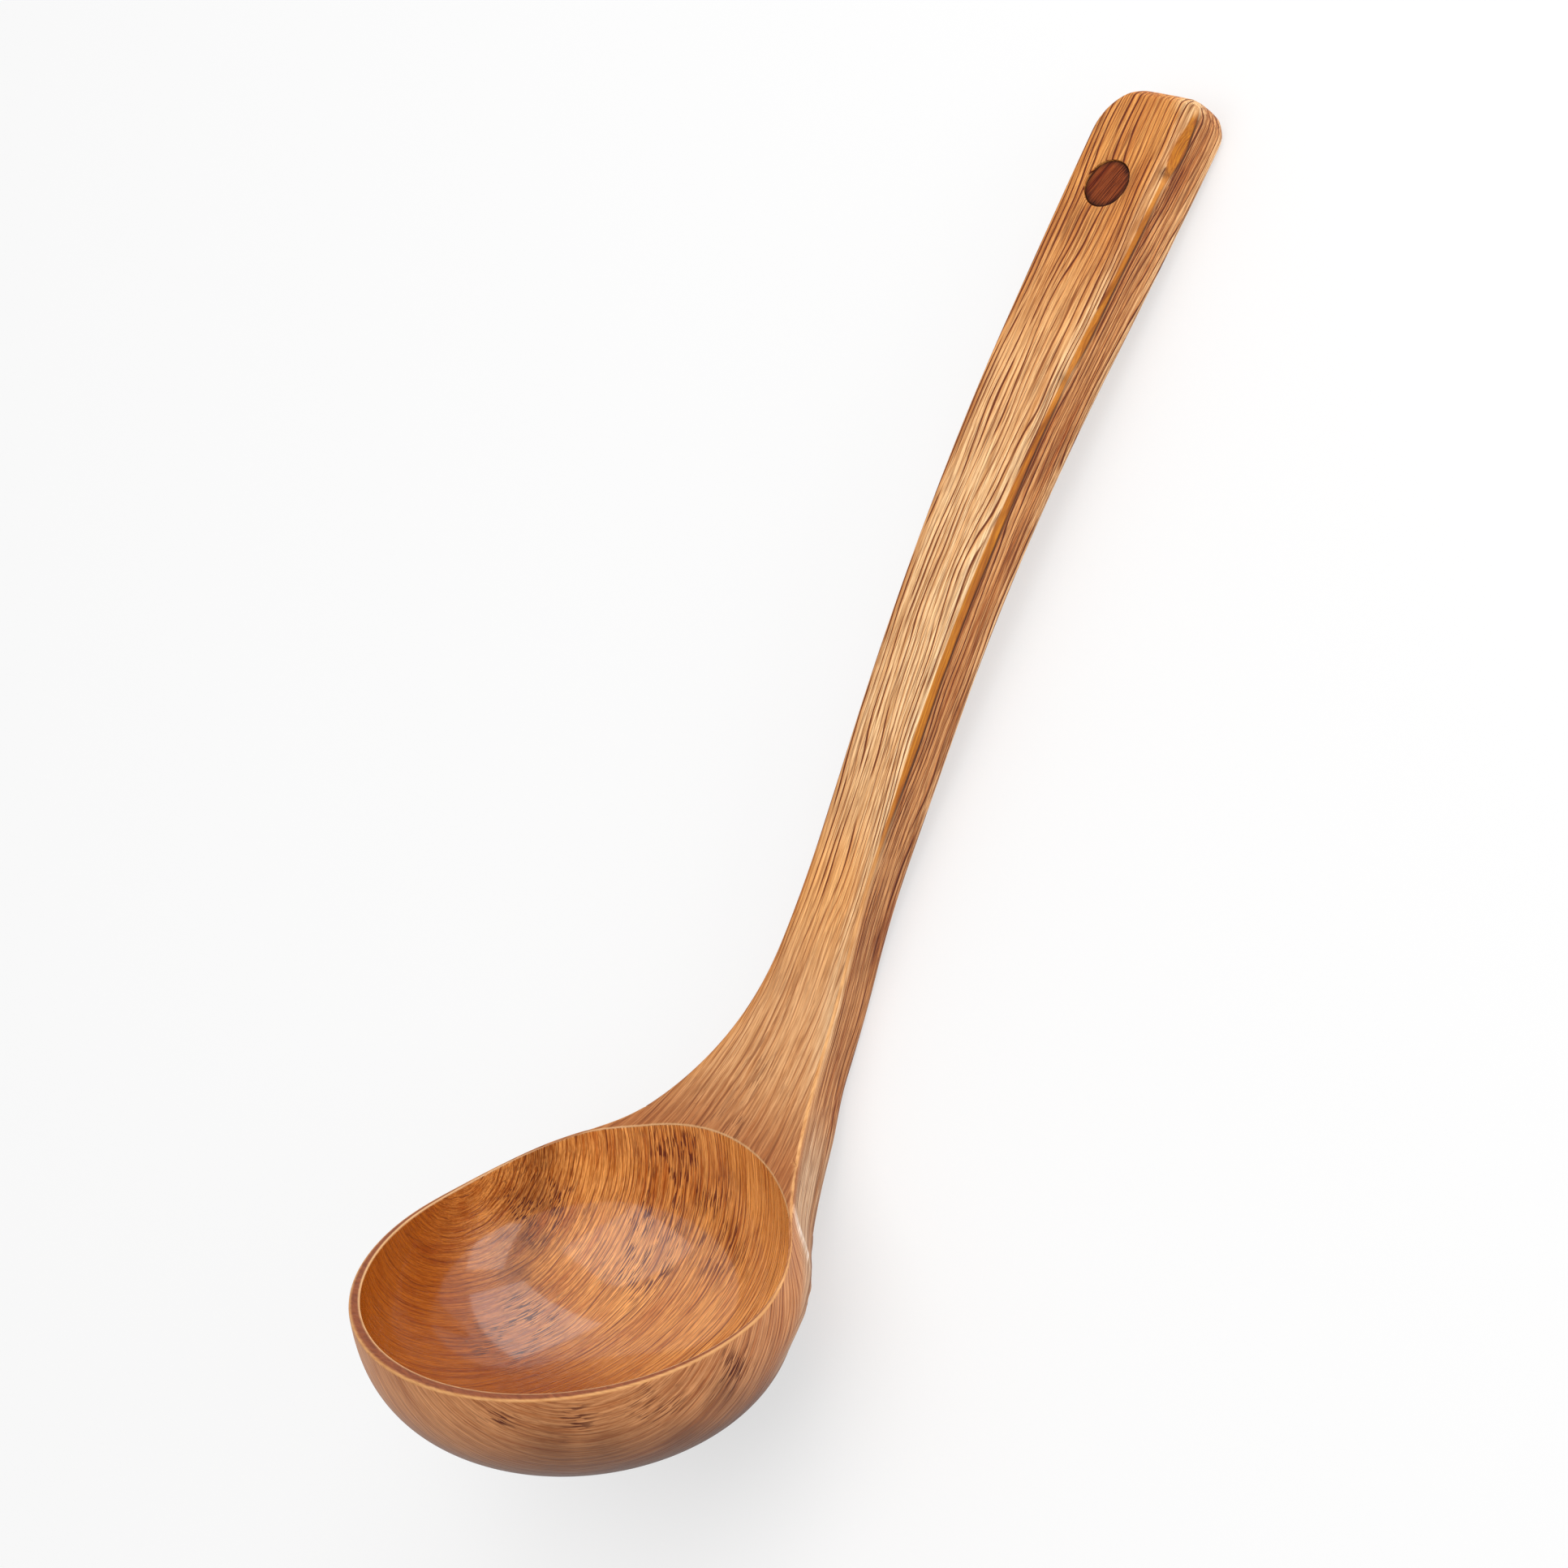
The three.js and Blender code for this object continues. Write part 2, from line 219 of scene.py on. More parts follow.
# %% [markdown]
# ## Finish: the figure of the wood
# One node group draws the figure that all pieces share. It takes the place in the wood and gives back
# five masks: the dark late wood lines with finer hairlines between them, the warm shade before each
# line, short open pores, fine fibres, and broad streaks. A wave texture would give even stripes. So
# the lines come from a coordinate across the layers that wanders a little. Its whole number names the
# layer, so each layer gets a darkness and width of its own, and its fraction tells how close the line
# is. Noises stretched along the fibres give the rest, and a ramp picks the part of a noise that shows.

# %% Node helpers
def add(tree, kind, inputs=None, **settings):
    """Add a node, with its settings, and link or set its inputs."""
    made = tree.nodes.new("ShaderNode" + kind)
    for name, value in settings.items():
        setattr(made, name, value)
    for socket, value in (inputs or {}).items():
        if isinstance(value, bpy.types.NodeSocket):
            tree.links.new(value, made.inputs[socket])
        else:
            made.inputs[socket].default_value = value
    return made


def calc(tree, operation, *values, clamp=False):
    """One step of arithmetic."""
    made = add(tree, "Math", dict(enumerate(values)), operation=operation, use_clamp=clamp)
    return made.outputs[0]


def times(tree, vector, factors):
    """Multiply the three numbers of a place or a colour."""
    return add(tree, "VectorMath", {0: vector, 1: factors}, operation="MULTIPLY").outputs[0]


def ramp(tree, value, low, high, start=0.0, end=1.0):
    """Carry a value from one range to another with soft ends."""
    made = add(tree, "MapRange", {0: value, 1: low, 2: high, 3: start, 4: end},
               interpolation_type="SMOOTHSTEP")
    return made.outputs[0]


def noise(tree, place, size, detail=2.0, rough=0.5):
    """Noise whose grains are size millimetres long, wide and deep."""
    scaled = times(tree, place, [1 / v for v in size])
    made = add(tree, "TexNoise", {"Vector": scaled, "Scale": 1.0, "Detail": detail, "Roughness": rough})
    return made.outputs["Fac"]


def sway(tree, place, size, amount):
    """Noise that swings about zero, by half the amount to each side."""
    return calc(tree, "MULTIPLY_ADD", noise(tree, place, size), amount, -amount / 2)


def blend(tree, share, first, second):
    """Mix two colours."""
    made = add(tree, "Mix", {0: share, 6: first, 7: second}, data_type="RGBA")
    return made.outputs[2]


def new_group(name, inputs, outputs):
    """Start a node group and return it with its inner sockets."""
    tree = bpy.data.node_groups.new(name, "ShaderNodeTree")
    for label, kind in inputs:
        tree.interface.new_socket(label, in_out="INPUT", socket_type="NodeSocket" + kind)
    for label, kind in outputs:
        tree.interface.new_socket(label, in_out="OUTPUT", socket_type="NodeSocket" + kind)
    return tree, tree.nodes.new("NodeGroupInput").outputs, tree.nodes.new("NodeGroupOutput").inputs


print("node helpers:", [one.__name__ for one in (add, calc, times, ramp, noise, sway, blend, new_group)])

# %% The wood figure group: layers
MASKS = ("Lines", "Shade", "Pores", "Fibre", "Streak")
LAYER, LEAN = 0.9, np.radians(38)  # thickness of a layer, and how it leans into the strip
WANDER, UNEVEN, RIPPLE = ((70, 18, 18), 7.0), ((300, 3, 3), 0.9), ((18, 3, 3), 0.4)  # grain, amount
LINE_WIDTH, LINE_SPREAD = 0.12, 0.09  # shares of a layer
LINE_DARK, DARK_SPREAD = 0.5, 0.6  # the faintest line, and how much darker others may be
LINE_RUN, LINE_SHIFT = 18.0, 3.7  # a line fades about so often, each layer at its own places
HAIRS, HAIR_DARK = (17, 0.3, 0.3), 0.45
figure, given, result = new_group("wood figure", [("Grain", "Vector")], [(mask, "Float") for mask in MASKS])
place = given["Grain"]
parts = add(figure, "SeparateXYZ", {0: place}).outputs
drift = calc(figure, "ADD", sway(figure, place, *WANDER), sway(figure, place, *UNEVEN))
across = calc(figure, "MULTIPLY_ADD", parts[1], float(np.cos(LEAN)), drift)
across = calc(figure, "ADD", across, sway(figure, place, *RIPPLE))
across = calc(figure, "MULTIPLY_ADD", parts[2], float(np.sin(LEAN)), across)
layer = calc(figure, "DIVIDE", across, LAYER)
number = calc(figure, "FLOOR", layer)
inside = calc(figure, "FRACT", layer)
lot = add(figure, "TexWhiteNoise", {"W": number}, noise_dimensions="1D").outputs["Value"]
nearness = calc(figure, "ABSOLUTE", calc(figure, "SUBTRACT", inside, 0.5))
width = calc(figure, "MULTIPLY_ADD", lot, LINE_SPREAD, LINE_WIDTH)
line = ramp(figure, calc(figure, "DIVIDE", nearness, width), 0.4, 1.0, 1.0, 0.0)
run = add(figure, "CombineXYZ", {0: calc(figure, "DIVIDE", parts[0], LINE_RUN),
                                 1: calc(figure, "MULTIPLY", number, LINE_SHIFT)}).outputs[0]
broken = ramp(figure, noise(figure, run, (1, 1, 1), 1.0), 0.34, 0.54, 0.15, 1.0)
strength = calc(figure, "MULTIPLY", broken, calc(figure, "MULTIPLY_ADD", lot, DARK_SPREAD, LINE_DARK))
hairs = ramp(figure, noise(figure, place, HAIRS, 1.0), 0.54, 0.66, 0.0, HAIR_DARK)
lines = calc(figure, "MAXIMUM", calc(figure, "MULTIPLY", line, strength), hairs)
shade = calc(figure, "MULTIPLY", ramp(figure, inside, 0.0, 0.5), ramp(figure, inside, 0.62, 0.5))
figure.links.new(lines, result["Lines"])
figure.links.new(calc(figure, "MULTIPLY", shade, strength), result["Shade"])
print("layers of", LAYER, "mm drawn with", len(figure.nodes), "nodes")

# %% The wood figure group: pores, fibres and streaks
DASHES, BANDS = (6.5, 0.38, 0.38), (14, 4, 4)  # pores are dashes that crowd in bands
FIBRES, SPECKS, SPECK_SHARE = (18, 0.35, 0.35), (3, 0.3, 0.3), 0.3
STREAKS, CLOUDS, CLOUD_SHARE = (55, 1.3, 1.3), (26, 8, 8), 0.35
dashes = ramp(figure, noise(figure, place, DASHES, 1.0), 0.52, 0.57)
bands = ramp(figure, noise(figure, place, BANDS), 0.42, 0.58, 0.3, 1.0)
figure.links.new(calc(figure, "MULTIPLY", dashes, bands), result["Pores"])
specks = calc(figure, "MULTIPLY", noise(figure, place, SPECKS, 1.0), SPECK_SHARE)
fibres = noise(figure, place, FIBRES, 2.0, 0.6)
figure.links.new(calc(figure, "MULTIPLY_ADD", fibres, 1 - SPECK_SHARE, specks), result["Fibre"])
clouds = calc(figure, "MULTIPLY", noise(figure, place, CLOUDS), CLOUD_SHARE)
streaks = noise(figure, place, STREAKS, 3.0, 0.6)
figure.links.new(calc(figure, "MULTIPLY_ADD", streaks, 1 - CLOUD_SHARE, clouds), result["Streak"])
print("wood figure group with", len(figure.nodes), "nodes")

# %% [markdown]
# ## Finish: colour, gloss and relief
# A second group turns the masks into colour. Streaks and fibres push the tint lighter and paler or
# darker and redder, the wood warms towards each late wood line, and the line itself and the pores are
# burnt brown. Oil sinks into the open grain, so dark lines are also a little duller and lower than the
# wood between them. A fixed colour ramp would be simpler, but it couldn't follow the tint of the piece.
# Mottle, openness and boldness say how strong the tones, the pores and the lines are over the piece.

# %% The wood colour group
FORCES = ("Mottle", "Openness", "Boldness")
STREAK_CHANGE, FIBRE_CHANGE = 0.17, 0.28
PALER = (0.7, 1.0, 1.35)  # a lighter tone gains most in blue
WARM, BURNT = (0.84, 0.58, 0.34), (0.17, 0.06, 0.03)  # what is left of red, green and blue
wood, given, result = new_group(
    "wood colour", [("Tint", "Color")] + [(name, "Float") for name in MASKS + FORCES],
    [("Color", "Color"), ("Dull", "Float"), ("Height", "Float")])
streak = ramp(wood, given["Streak"], 0.36, 0.64, -1.0, 1.0)
fibre = ramp(wood, given["Fibre"], 0.38, 0.62, -1.0, 1.0)
change = calc(wood, "MULTIPLY_ADD", streak, STREAK_CHANGE, calc(wood, "MULTIPLY", fibre, FIBRE_CHANGE))
change = calc(wood, "MULTIPLY", change, given["Mottle"])
light = add(wood, "VectorMath", {0: PALER, "Scale": change}, operation="SCALE").outputs[0]
toned = add(wood, "VectorMath", {0: given["Tint"], 1: light, 2: given["Tint"]},
            operation="MULTIPLY_ADD").outputs[0]
before_line = calc(wood, "MULTIPLY", given["Shade"], given["Boldness"])
dark_streak = ramp(wood, given["Streak"], 0.5, 0.36, 0.0, 0.55)
warmth = calc(wood, "MAXIMUM", before_line, calc(wood, "MULTIPLY", dark_streak, given["Mottle"]), clamp=True)
toned = blend(wood, warmth, toned, times(wood, toned, WARM))
lines = calc(wood, "MULTIPLY", given["Lines"], given["Boldness"])
pores = calc(wood, "MULTIPLY", given["Pores"], given["Openness"])
dark = calc(wood, "MAXIMUM", lines, pores, clamp=True)
wood.links.new(blend(wood, dark, toned, times(wood, given["Tint"], BURNT)), result["Color"])
wood.links.new(calc(wood, "MULTIPLY_ADD", fibre, 0.35, dark, clamp=True), result["Dull"])
raised = calc(wood, "MULTIPLY", fibre, 0.25)
wood.links.new(calc(wood, "MULTIPLY_ADD", dark, -1.0, raised), result["Height"])
print("wood colour group with", len(wood.nodes), "nodes")

# %% [markdown]
# ## Materials
# The handle and the outside of the bowl are oiled and satin. The hollow is polished, so it mirrors the
# lamps softly under a clear coat. On the bowl the figure is drawn twice, once round the bowl and once
# along the neck, and a mask on the mesh says which one shows.

# %% Materials
DULLER = 0.2  # how much rougher the darkest lines are
GROOVE = 0.0002  # depth of the relief in metres
COAT_ROUGHNESS = 0.08


def place_group(tree, group, inputs):
    """Place a node group in a material, link its inputs and return its outputs."""
    made = tree.nodes.new("ShaderNodeGroup")
    made.node_tree = group
    for name, value in inputs.items():
        tree.links.new(value, made.inputs[name])
    return made.outputs


def carried(tree, layer, output="Vector"):
    """A value that the points of the mesh carry."""
    return add(tree, "Attribute", attribute_name=layer).outputs[output]


def wood_material(name, grains, roughness, shine, coat, relief):
    """Wood with one figure, or with two, of which the second shows on the neck."""
    material = bpy.data.materials.new(name)
    material.use_nodes = True
    tree = material.node_tree
    shader = tree.nodes["Principled BSDF"]
    drawn = [place_group(tree, figure, {"Grain": carried(tree, grain)}) for grain in grains]
    masks = dict(drawn[0].items())
    for other in drawn[1:]:
        neck = carried(tree, "neck", "Fac")
        for key, value in other.items():
            masks[key] = add(tree, "Mix", {0: neck, 2: masks[key], 3: value}, data_type="FLOAT").outputs[0]
    masks.update(zip(FORCES, add(tree, "SeparateXYZ", {0: carried(tree, "force")}).outputs))
    masks["Tint"] = carried(tree, "tint", "Color")
    coloured = place_group(tree, wood, masks)
    tree.links.new(coloured["Color"], shader.inputs["Base Color"])
    dullness = ramp(tree, coloured["Dull"], 0.0, 1.0, roughness, roughness + DULLER)
    tree.links.new(dullness, shader.inputs["Roughness"])
    bump = add(tree, "Bump", {"Strength": relief, "Distance": GROOVE, "Height": coloured["Height"]})
    tree.links.new(bump.outputs[0], shader.inputs["Normal"])
    shader.inputs["Specular IOR Level"].default_value = shine
    shader.inputs["Coat Weight"].default_value = coat
    shader.inputs["Coat Roughness"].default_value = COAT_ROUGHNESS
    print("material", name)
    return material


satin = {"roughness": 0.42, "shine": 0.22, "coat": 0.0, "relief": 0.35}
handle_wood = wood_material("handle wood", ["grain"], **satin)
bowl_wood = wood_material("bowl wood", ["round_grain", "grain"], **satin)
hollow_wood = wood_material("hollow wood", ["round_grain"], roughness=0.2, shine=0.35, coat=0.75, relief=0.25)
plug_wood = wood_material("plug wood", ["grain"], roughness=0.45, shine=0.12, coat=0.0, relief=0.5)
peg_wood = wood_material("peg wood", ["grain"], roughness=0.5, shine=0.3, coat=0.0, relief=0.5)

# %% [markdown]
# ## Tints of the strip
# The neck belongs half to the bowl and half to the handle, so one helper gives the tint of both: pale
# golden wood on the face, more orange towards the tip and in a collar above the neck, browner towards
# the rim and along the left edge, a painted highlight stripe beside the right edge, and brown sides with
# a lighter back edge and a painted sheen low on them near the foot. A second helper says how strong the
# tones, the pores and the lines are there. Stretches and places are millimetres along the face line.

# %% Tints of the strip
FACE, FACE_ORANGE, FACE_LEFT, FACE_PAINTED_HIGHLIGHT = tint("fac890"), tint("d98d40"), tint("cc823a"), tint("f6d0a0")
COLLAR, NECK, FOOT, GOLD_WEAR_AND_HIGHLIGHT = tint("f6ae62"), tint("dfa56f"), tint("b06f3f"), tint("dfa468")
SIDE, SIDE_PALE, SIDE_LOW, SIDE_SHEEN_PAINT = tint("ca8a51"), tint("e0b07c"), tint("b67a48"), tint("bd9470")
ORANGE_STRETCH, NECK_STRETCH, FOOT_STRETCH = (LENGTH - 110, LENGTH - 15), (120, 75), (62, 36)
SIDE_LOW_STRETCH, SIDE_SHEEN_STRETCH = (170, 80), (58, 40)
LEFT_STRETCH, HIGHLIGHT_STRETCH = (36, 60), (45, 80)
LEFT_STRIPE, HIGHLIGHT_STRIPE = (3.0, 0.6), (4.0, 1.6)  # millimetres from the edge, where each fades in
COLLAR_PLACE, COLLAR_SIZE = 97, 15
BACK_EDGE = (8, 12.5)  # depth


def strip_tint(along, across, depth):
    """Tint at a place of the strip."""
    width = half_width(np.interp(along, fine, fine_x))
    colour = mix(FACE, FACE_ORANGE, 0.9 * smoothstep(*ORANGE_STRETCH, along))
    colour = mix(colour, NECK, smoothstep(*NECK_STRETCH, along))
    colour = mix(colour, COLLAR, 0.7 * hump(along, COLLAR_PLACE, COLLAR_SIZE))
    colour = mix(colour, FOOT, smoothstep(*FOOT_STRETCH, along))
    by_left = smoothstep(*LEFT_STRIPE, width - across) * smoothstep(*LEFT_STRETCH, along)
    # a painted highlight: a pale stripe along the right edge of the face
    right_highlight = smoothstep(*HIGHLIGHT_STRIPE, width + across) * smoothstep(*HIGHLIGHT_STRETCH, along)
    colour = mix(mix(colour, FACE_LEFT, 0.6 * by_left), FACE_PAINTED_HIGHLIGHT, 0.5 * right_highlight)
    side = mix(SIDE, SIDE_PALE, smoothstep(*BACK_EDGE, depth))
    side = mix(side, SIDE_LOW, smoothstep(*SIDE_LOW_STRETCH, along))
    # a painted sheen: the sides turn pale and grey low down near the foot
    side = mix(side, SIDE_SHEEN_PAINT, smoothstep(*SIDE_SHEEN_STRETCH, along))
    return mix(colour, side, on_side(depth))


print("tint in the middle of the face", strip_tint(LENGTH / 2, 0.0, 0.0).round(2))

# %% Force of the strip's figure
MOTTLE, NECK_CALM, FOOT_CALM = 0.9, 0.1, 0.5  # tones of the face, how much calmer at neck and foot
SIDE_MOTTLE, LOW_MOTTLE = 0.7, 0.3  # what the sides add, and their lower stretch
BOLD, SIDE_BOLD, NECK_FAINT, SIDE_KEPT, FOOT_FAINT = 1.4, 0.2, 0.85, 0.3, 0.3
CALM_STRETCH, FAINT_STRETCH, FOOT_CALM_STRETCH = (110, 70), (122, 70), (60, 44)
PORES, NECK_PORES, FOOT_PORES = 0.3, 0.6, 0.9
NECK_PATCH, FOOT_PATCH = ((58, 9), (1, 3)), ((42, 5), (0, 6))  # place and size, along and across


def strip_force(along, across, depth):
    """Strength of the tones, the pores and the lines at a place of the strip."""
    side = on_side(depth)
    foot = side * smoothstep(*FOOT_CALM_STRETCH, along)
    mottle = MOTTLE - NECK_CALM * smoothstep(*CALM_STRETCH, along) - FOOT_CALM * foot
    mottle = mottle + (SIDE_MOTTLE + LOW_MOTTLE * smoothstep(*SIDE_LOW_STRETCH, along)) * side
    faint = (NECK_FAINT - SIDE_KEPT * side) * smoothstep(*FAINT_STRETCH, along)
    bold = BOLD + SIDE_BOLD * side - faint - FOOT_FAINT * foot
    neck_pores = PORES + NECK_PORES * hump(along, *NECK_PATCH[0]) * hump(across, *NECK_PATCH[1])
    foot_pores = FOOT_PORES * hump(along, *FOOT_PATCH[0]) * hump(across, *FOOT_PATCH[1])
    return np.stack(np.broadcast_arrays(mottle, np.maximum(neck_pores, foot_pores), bold), -1)


print("force in the middle of the face", strip_force(LENGTH / 2, 0.0, 0.0).round(2))

# %% [markdown]
# ## Bowl
# The bowl is shaped like a pot on a wheel: rows of points run from the middle of its underside up the
# wall, over the rim and down into the hollow, and columns go round it. A spun profile would give a
# plain dish. Here the rim climbs towards the handle and the wall has to flow into the neck, so the
# reach of every point is worked out.
#
# The wall is a dish with full sides. Where the neck stands on it, the wall reaches out to the neck's
# sides and back, with a soft fillet between, and at the sides the neck melts into the wall. On the
# right its edge runs out in a low ridge. The left shoulder is carved a little higher than the right
# one. At the seam the bowl stops at an upright cylinder, and the handle goes on from there.

# %% Bowl columns
# The columns lie closest where the neck runs out on the wall.
half = np.radians(np.concatenate([np.arange(0, 26, 2), np.arange(26, 62, 0.6), np.arange(62, 180, 1.25)]))
turns = np.concatenate([half, [np.pi], -half[:0:-1]])
COLUMNS = len(turns)
cos_turn, sin_turn, turn_degrees = np.cos(turns), np.sin(turns), np.degrees(turns)
ARRIS = 0.55  # radius of the worn edge
LIFT, LIFT_START, LIFT_END = 1.3, (24, 43), (88, 48)  # height and turns of the left shoulder

plan_x = np.linspace(flare_start, SEAM + 10, 400)
plan_turn = np.arctan2(half_width(plan_x), plan_x)
plan_reach = np.hypot(half_width(plan_x), plan_x)
outline = np.where(np.abs(turns) > plan_turn[0], RIM,
                   np.interp(-np.abs(turns), -plan_turn, plan_reach))
rim_reach = np.minimum(outline, SEAM)
at_seam = outline > SEAM
lift = LIFT * smoothstep(*LIFT_START, turn_degrees) * smoothstep(*LIFT_END, turn_degrees)
beside = np.clip(half_width(SEAM * cos_turn) - SEAM * np.abs(sin_turn), 0, ARRIS)
drop = np.where(at_seam, ARRIS - np.sqrt(ARRIS ** 2 - (ARRIS - beside) ** 2), 0)
rim_height = face_height(rim_reach * cos_turn) + lift - drop
print("bowl columns", COLUMNS, "rim up to", round(float(rim_height.max()), 1), "mm")

# %% Bowl wall
HALVINGS = 40  # steps of a search that halves its range
SKIRT, MELTED = 6, 2.2  # extra thickness of the neck's sides, and how far they stand out at most
FILLET, BACK_FILLET = 5.0, 4.0  # between neck and wall, and between the neck's sides and back
SKIRT_TURNS, MELTED_TURNS, NECK_TURNS = (52, 60), (48, 57), (82, 54)  # degrees from the handle
MELTED_HEIGHTS, FILLET_DROPS, RAISED_LEVELS = (-19, -8), (0, 9), (-16, 0)
WALL_ROWS = 60
RIDGE_TURN, RIDGE_TOP, RIDGE_LEAN = 36.5, 6, 0.6  # degrees to the right, height, degrees per mm
RIDGE_WIDTH, RIDGE_HEIGHT, RIDGE_FOOT, RIDGE_HEAD = 1.3, 0.45, (-9, -3), (9, 5)
DEGREE = np.radians(48)  # millimetres round the wall in one degree, at a reach of 48


def smooth_max(first, second, width):
    """The larger of two reaches, with a fillet where they are alike."""
    width = np.maximum(width, 1e-6)
    share = np.clip(0.5 + 0.5 * (first - second) / width, 0, 1)
    return second * (1 - share) + first * share + width * share * (1 - share)


def neck_reach(z, centre):
    """How far the neck's solid reaches from the bowl's axis at each turn and height."""
    low, high = np.full(z.shape, 20.0), np.full(z.shape, 70.0)
    for _ in range(HALVINGS):
        reach = (low + high) / 2
        station = np.arctan2(centre + reach * cos_turn - SWEEP_START, SWEEP - z)
        inside = reach * np.abs(sin_turn) < half_width(SWEEP_START + SWEEP * np.sin(station))
        low, high = np.where(inside, reach, low), np.where(inside, high, reach)
    thick = THICK + SKIRT * smoothstep(*SKIRT_TURNS, np.abs(turn_degrees))
    back = np.sqrt(np.maximum((SWEEP + thick) ** 2 - (SWEEP - z) ** 2, 0)) + SWEEP_START - centre
    behind = back / np.maximum(cos_turn, 0.05)
    return np.where(cos_turn > 0.1, -smooth_max(-low, -behind, BACK_FILLET), 0)


def wall_reach(z):
    """Reach of the bowl's outside, the place of its axis, and how far it belongs to the neck."""
    drop = np.clip(-z / DEPTH, 0, 1)
    centre = SETBACK * drop ** 2
    dish = RIM * (1 - drop ** FULLNESS) ** (1 / ROUNDNESS)
    neck = neck_reach(z, centre)
    fillet = FILLET * smoothstep(*FILLET_DROPS, rim_height - z)
    spread = smoothstep(*NECK_TURNS, np.abs(turn_degrees))
    bulge = smooth_max(neck, dish, fillet) - dish
    melting = -smooth_max(-bulge, -MELTED * smoothstep(*MELTED_HEIGHTS, z), 1.0)
    wide = smoothstep(*MELTED_TURNS, np.abs(turn_degrees))
    bulge = spread * (bulge * (1 - wide) + np.maximum(melting, 0) * wide)
    return dish + bulge, centre, np.minimum(spread * (neck - dish), bulge + 1)


fall = 0.5 * np.pi * np.linspace(1, 0, WALL_ROWS + 1)[1:] ** 1.6
levels = -DEPTH * np.sin(fall) ** (2 / FULLNESS)
arris = np.where(at_seam, 0, ARRIS)
heights = levels[:, None] + (rim_height - arris) * smoothstep(*RAISED_LEVELS, levels)[:, None]
wall, centres, excess = wall_reach(heights)
off_ridge = DEGREE * (turn_degrees + RIDGE_TURN + RIDGE_LEAN * (RIDGE_TOP - heights))
ridge = hump(off_ridge, 0, RIDGE_WIDTH)
ridge = ridge * smoothstep(*RIDGE_FOOT, heights) * smoothstep(*RIDGE_HEAD, heights)
wall = wall + RIDGE_HEIGHT * ridge
print("bowl wall", wall.shape, "reach", round(float(wall.max()), 2))

# %% [markdown]
# The rows are a regular net, and the seam's edge crosses it at will. Points just past the seam are moved
# back along their net lines to the exact crossing, so the bowl ends in a clean edge.

# %% Seam edge
turn_net = np.broadcast_to(turns, wall.shape).copy()
over = wall - SEAM
beyond = over > 0
for row_step, column_step in ((1, 0), (0, 1), (0, -1)):
    other = np.roll(over, (row_step, column_step), (0, 1))
    share = np.clip(over / np.where(beyond & (other < 0), over - other, np.inf), 0, 1)
    share = np.where(beyond & (other < 0), share, 0)
    if row_step:
        share[0] = 0
    heights = heights + share * (np.roll(heights, (row_step, column_step), (0, 1)) - heights)
    turn_net = turn_net + share * (np.roll(turn_net, (row_step, column_step), (0, 1)) - turn_net)
wall = np.minimum(wall, SEAM)
outside = np.stack([centres + wall * np.cos(turn_net), wall * np.sin(turn_net), heights], -1)
print("net points on the seam", int(beyond.sum()))

# %% [markdown]
# The rim is a narrow flat between two softened edges. It follows the neck's face upwards at the back.
# The hollow is a second dish inside the first, a little shallower, so that the floor is thicker than
# the walls.

# %% Rim and hollow
EASE = 0.3  # radius of the hollow's edge
HOLLOW_ROWS = 56
HOLLOW_ROUNDNESS, HOLLOW_FULLNESS = 2.2, 2.4
edge = EDGE_CENTRE * cos_turn + np.sqrt(EDGE_RADIUS ** 2 - (EDGE_CENTRE * sin_turn) ** 2)


def top_row(reach, lower=0.0):
    """Points of the top face at a reach from the bowl's axis, or so much lower."""
    x = reach * cos_turn
    return np.stack([x, reach * sin_turn, face_height(x) + lift - lower], -1)


rows = []
for angle in np.radians([30, 60, 90]):
    rows.append(top_row(rim_reach - arris * (1 - np.cos(angle)), arris * (1 - np.sin(angle)) + drop))
for share in np.linspace(0, 1, 7)[1:]:
    rows.append(top_row((rim_reach - arris) * (1 - share) + (edge + EASE) * share))
for angle in np.radians([30, 60]):
    rows.append(top_row(edge + EASE * (1 - np.sin(angle)), EASE * (1 - np.cos(angle))))
rim_rows = np.array(rows)
edge_height = face_height(edge * cos_turn) + lift - EASE
turn_in = 0.5 * np.pi * np.linspace(0, 1, HOLLOW_ROWS + 1)[:-1, None] ** 1.6
sunk = np.sin(turn_in) ** (2 / HOLLOW_FULLNESS)
reach = edge * np.cos(turn_in) ** (2 / HOLLOW_ROUNDNESS)
hollow = np.stack([reach * cos_turn + SETBACK * sunk ** 2, reach * sin_turn,
                   edge_height - (edge_height + DEPTH - FLOOR) * sunk], -1)
print("rim rows", len(rim_rows), "hollow rows", len(hollow))

# %% [markdown]
# Tints of the bowl: tan outside with painted shade underneath, a reddish brown rim between two pale edges
# of worn wood with a painted highlight, the tints of the strip towards the neck, and an orange brown
# hollow that is lighter towards the neck, where painted light brightens its shaded back wall.
# The gouge opened the pores in a few patches of the hollow and below the rim, and dark streaks run down
# the hollow's left and over the outside, so these patches are listed: place and size.

# %% Tints of the bowl
TAN, TAN_SHADE_AND_STREAK = tint("c48351"), tint("46200c")
RIM_BROWN, PALE_WEAR_AND_HIGHLIGHT, RIDGE_GLINT_PAINT = tint("8a4824"), tint("e8ba84"), tint("f0dcc8")
HOLLOW, HOLLOW_PAINTED_LIGHT, HOLLOW_SMOKE = tint("a6560e"), tint("eda253"), tint("6a2c08")
OUTER_WEAR_AND_HIGHLIGHT, INNER_WEAR_AND_HIGHLIGHT = np.array([[0.9], [0.9], [0.3]]), np.array([[0.4], [0.9]])
OPEN_PATCHES = [(43, 12, 0, 9), (44, 7, -7, 9), (39, 16, -14, 9), (33, 17, -23, 9), (42, -1, -16, 8),
                (9, 28, -27, 8), (0, 26, -28, 7), (24, 37, -9, 9)]
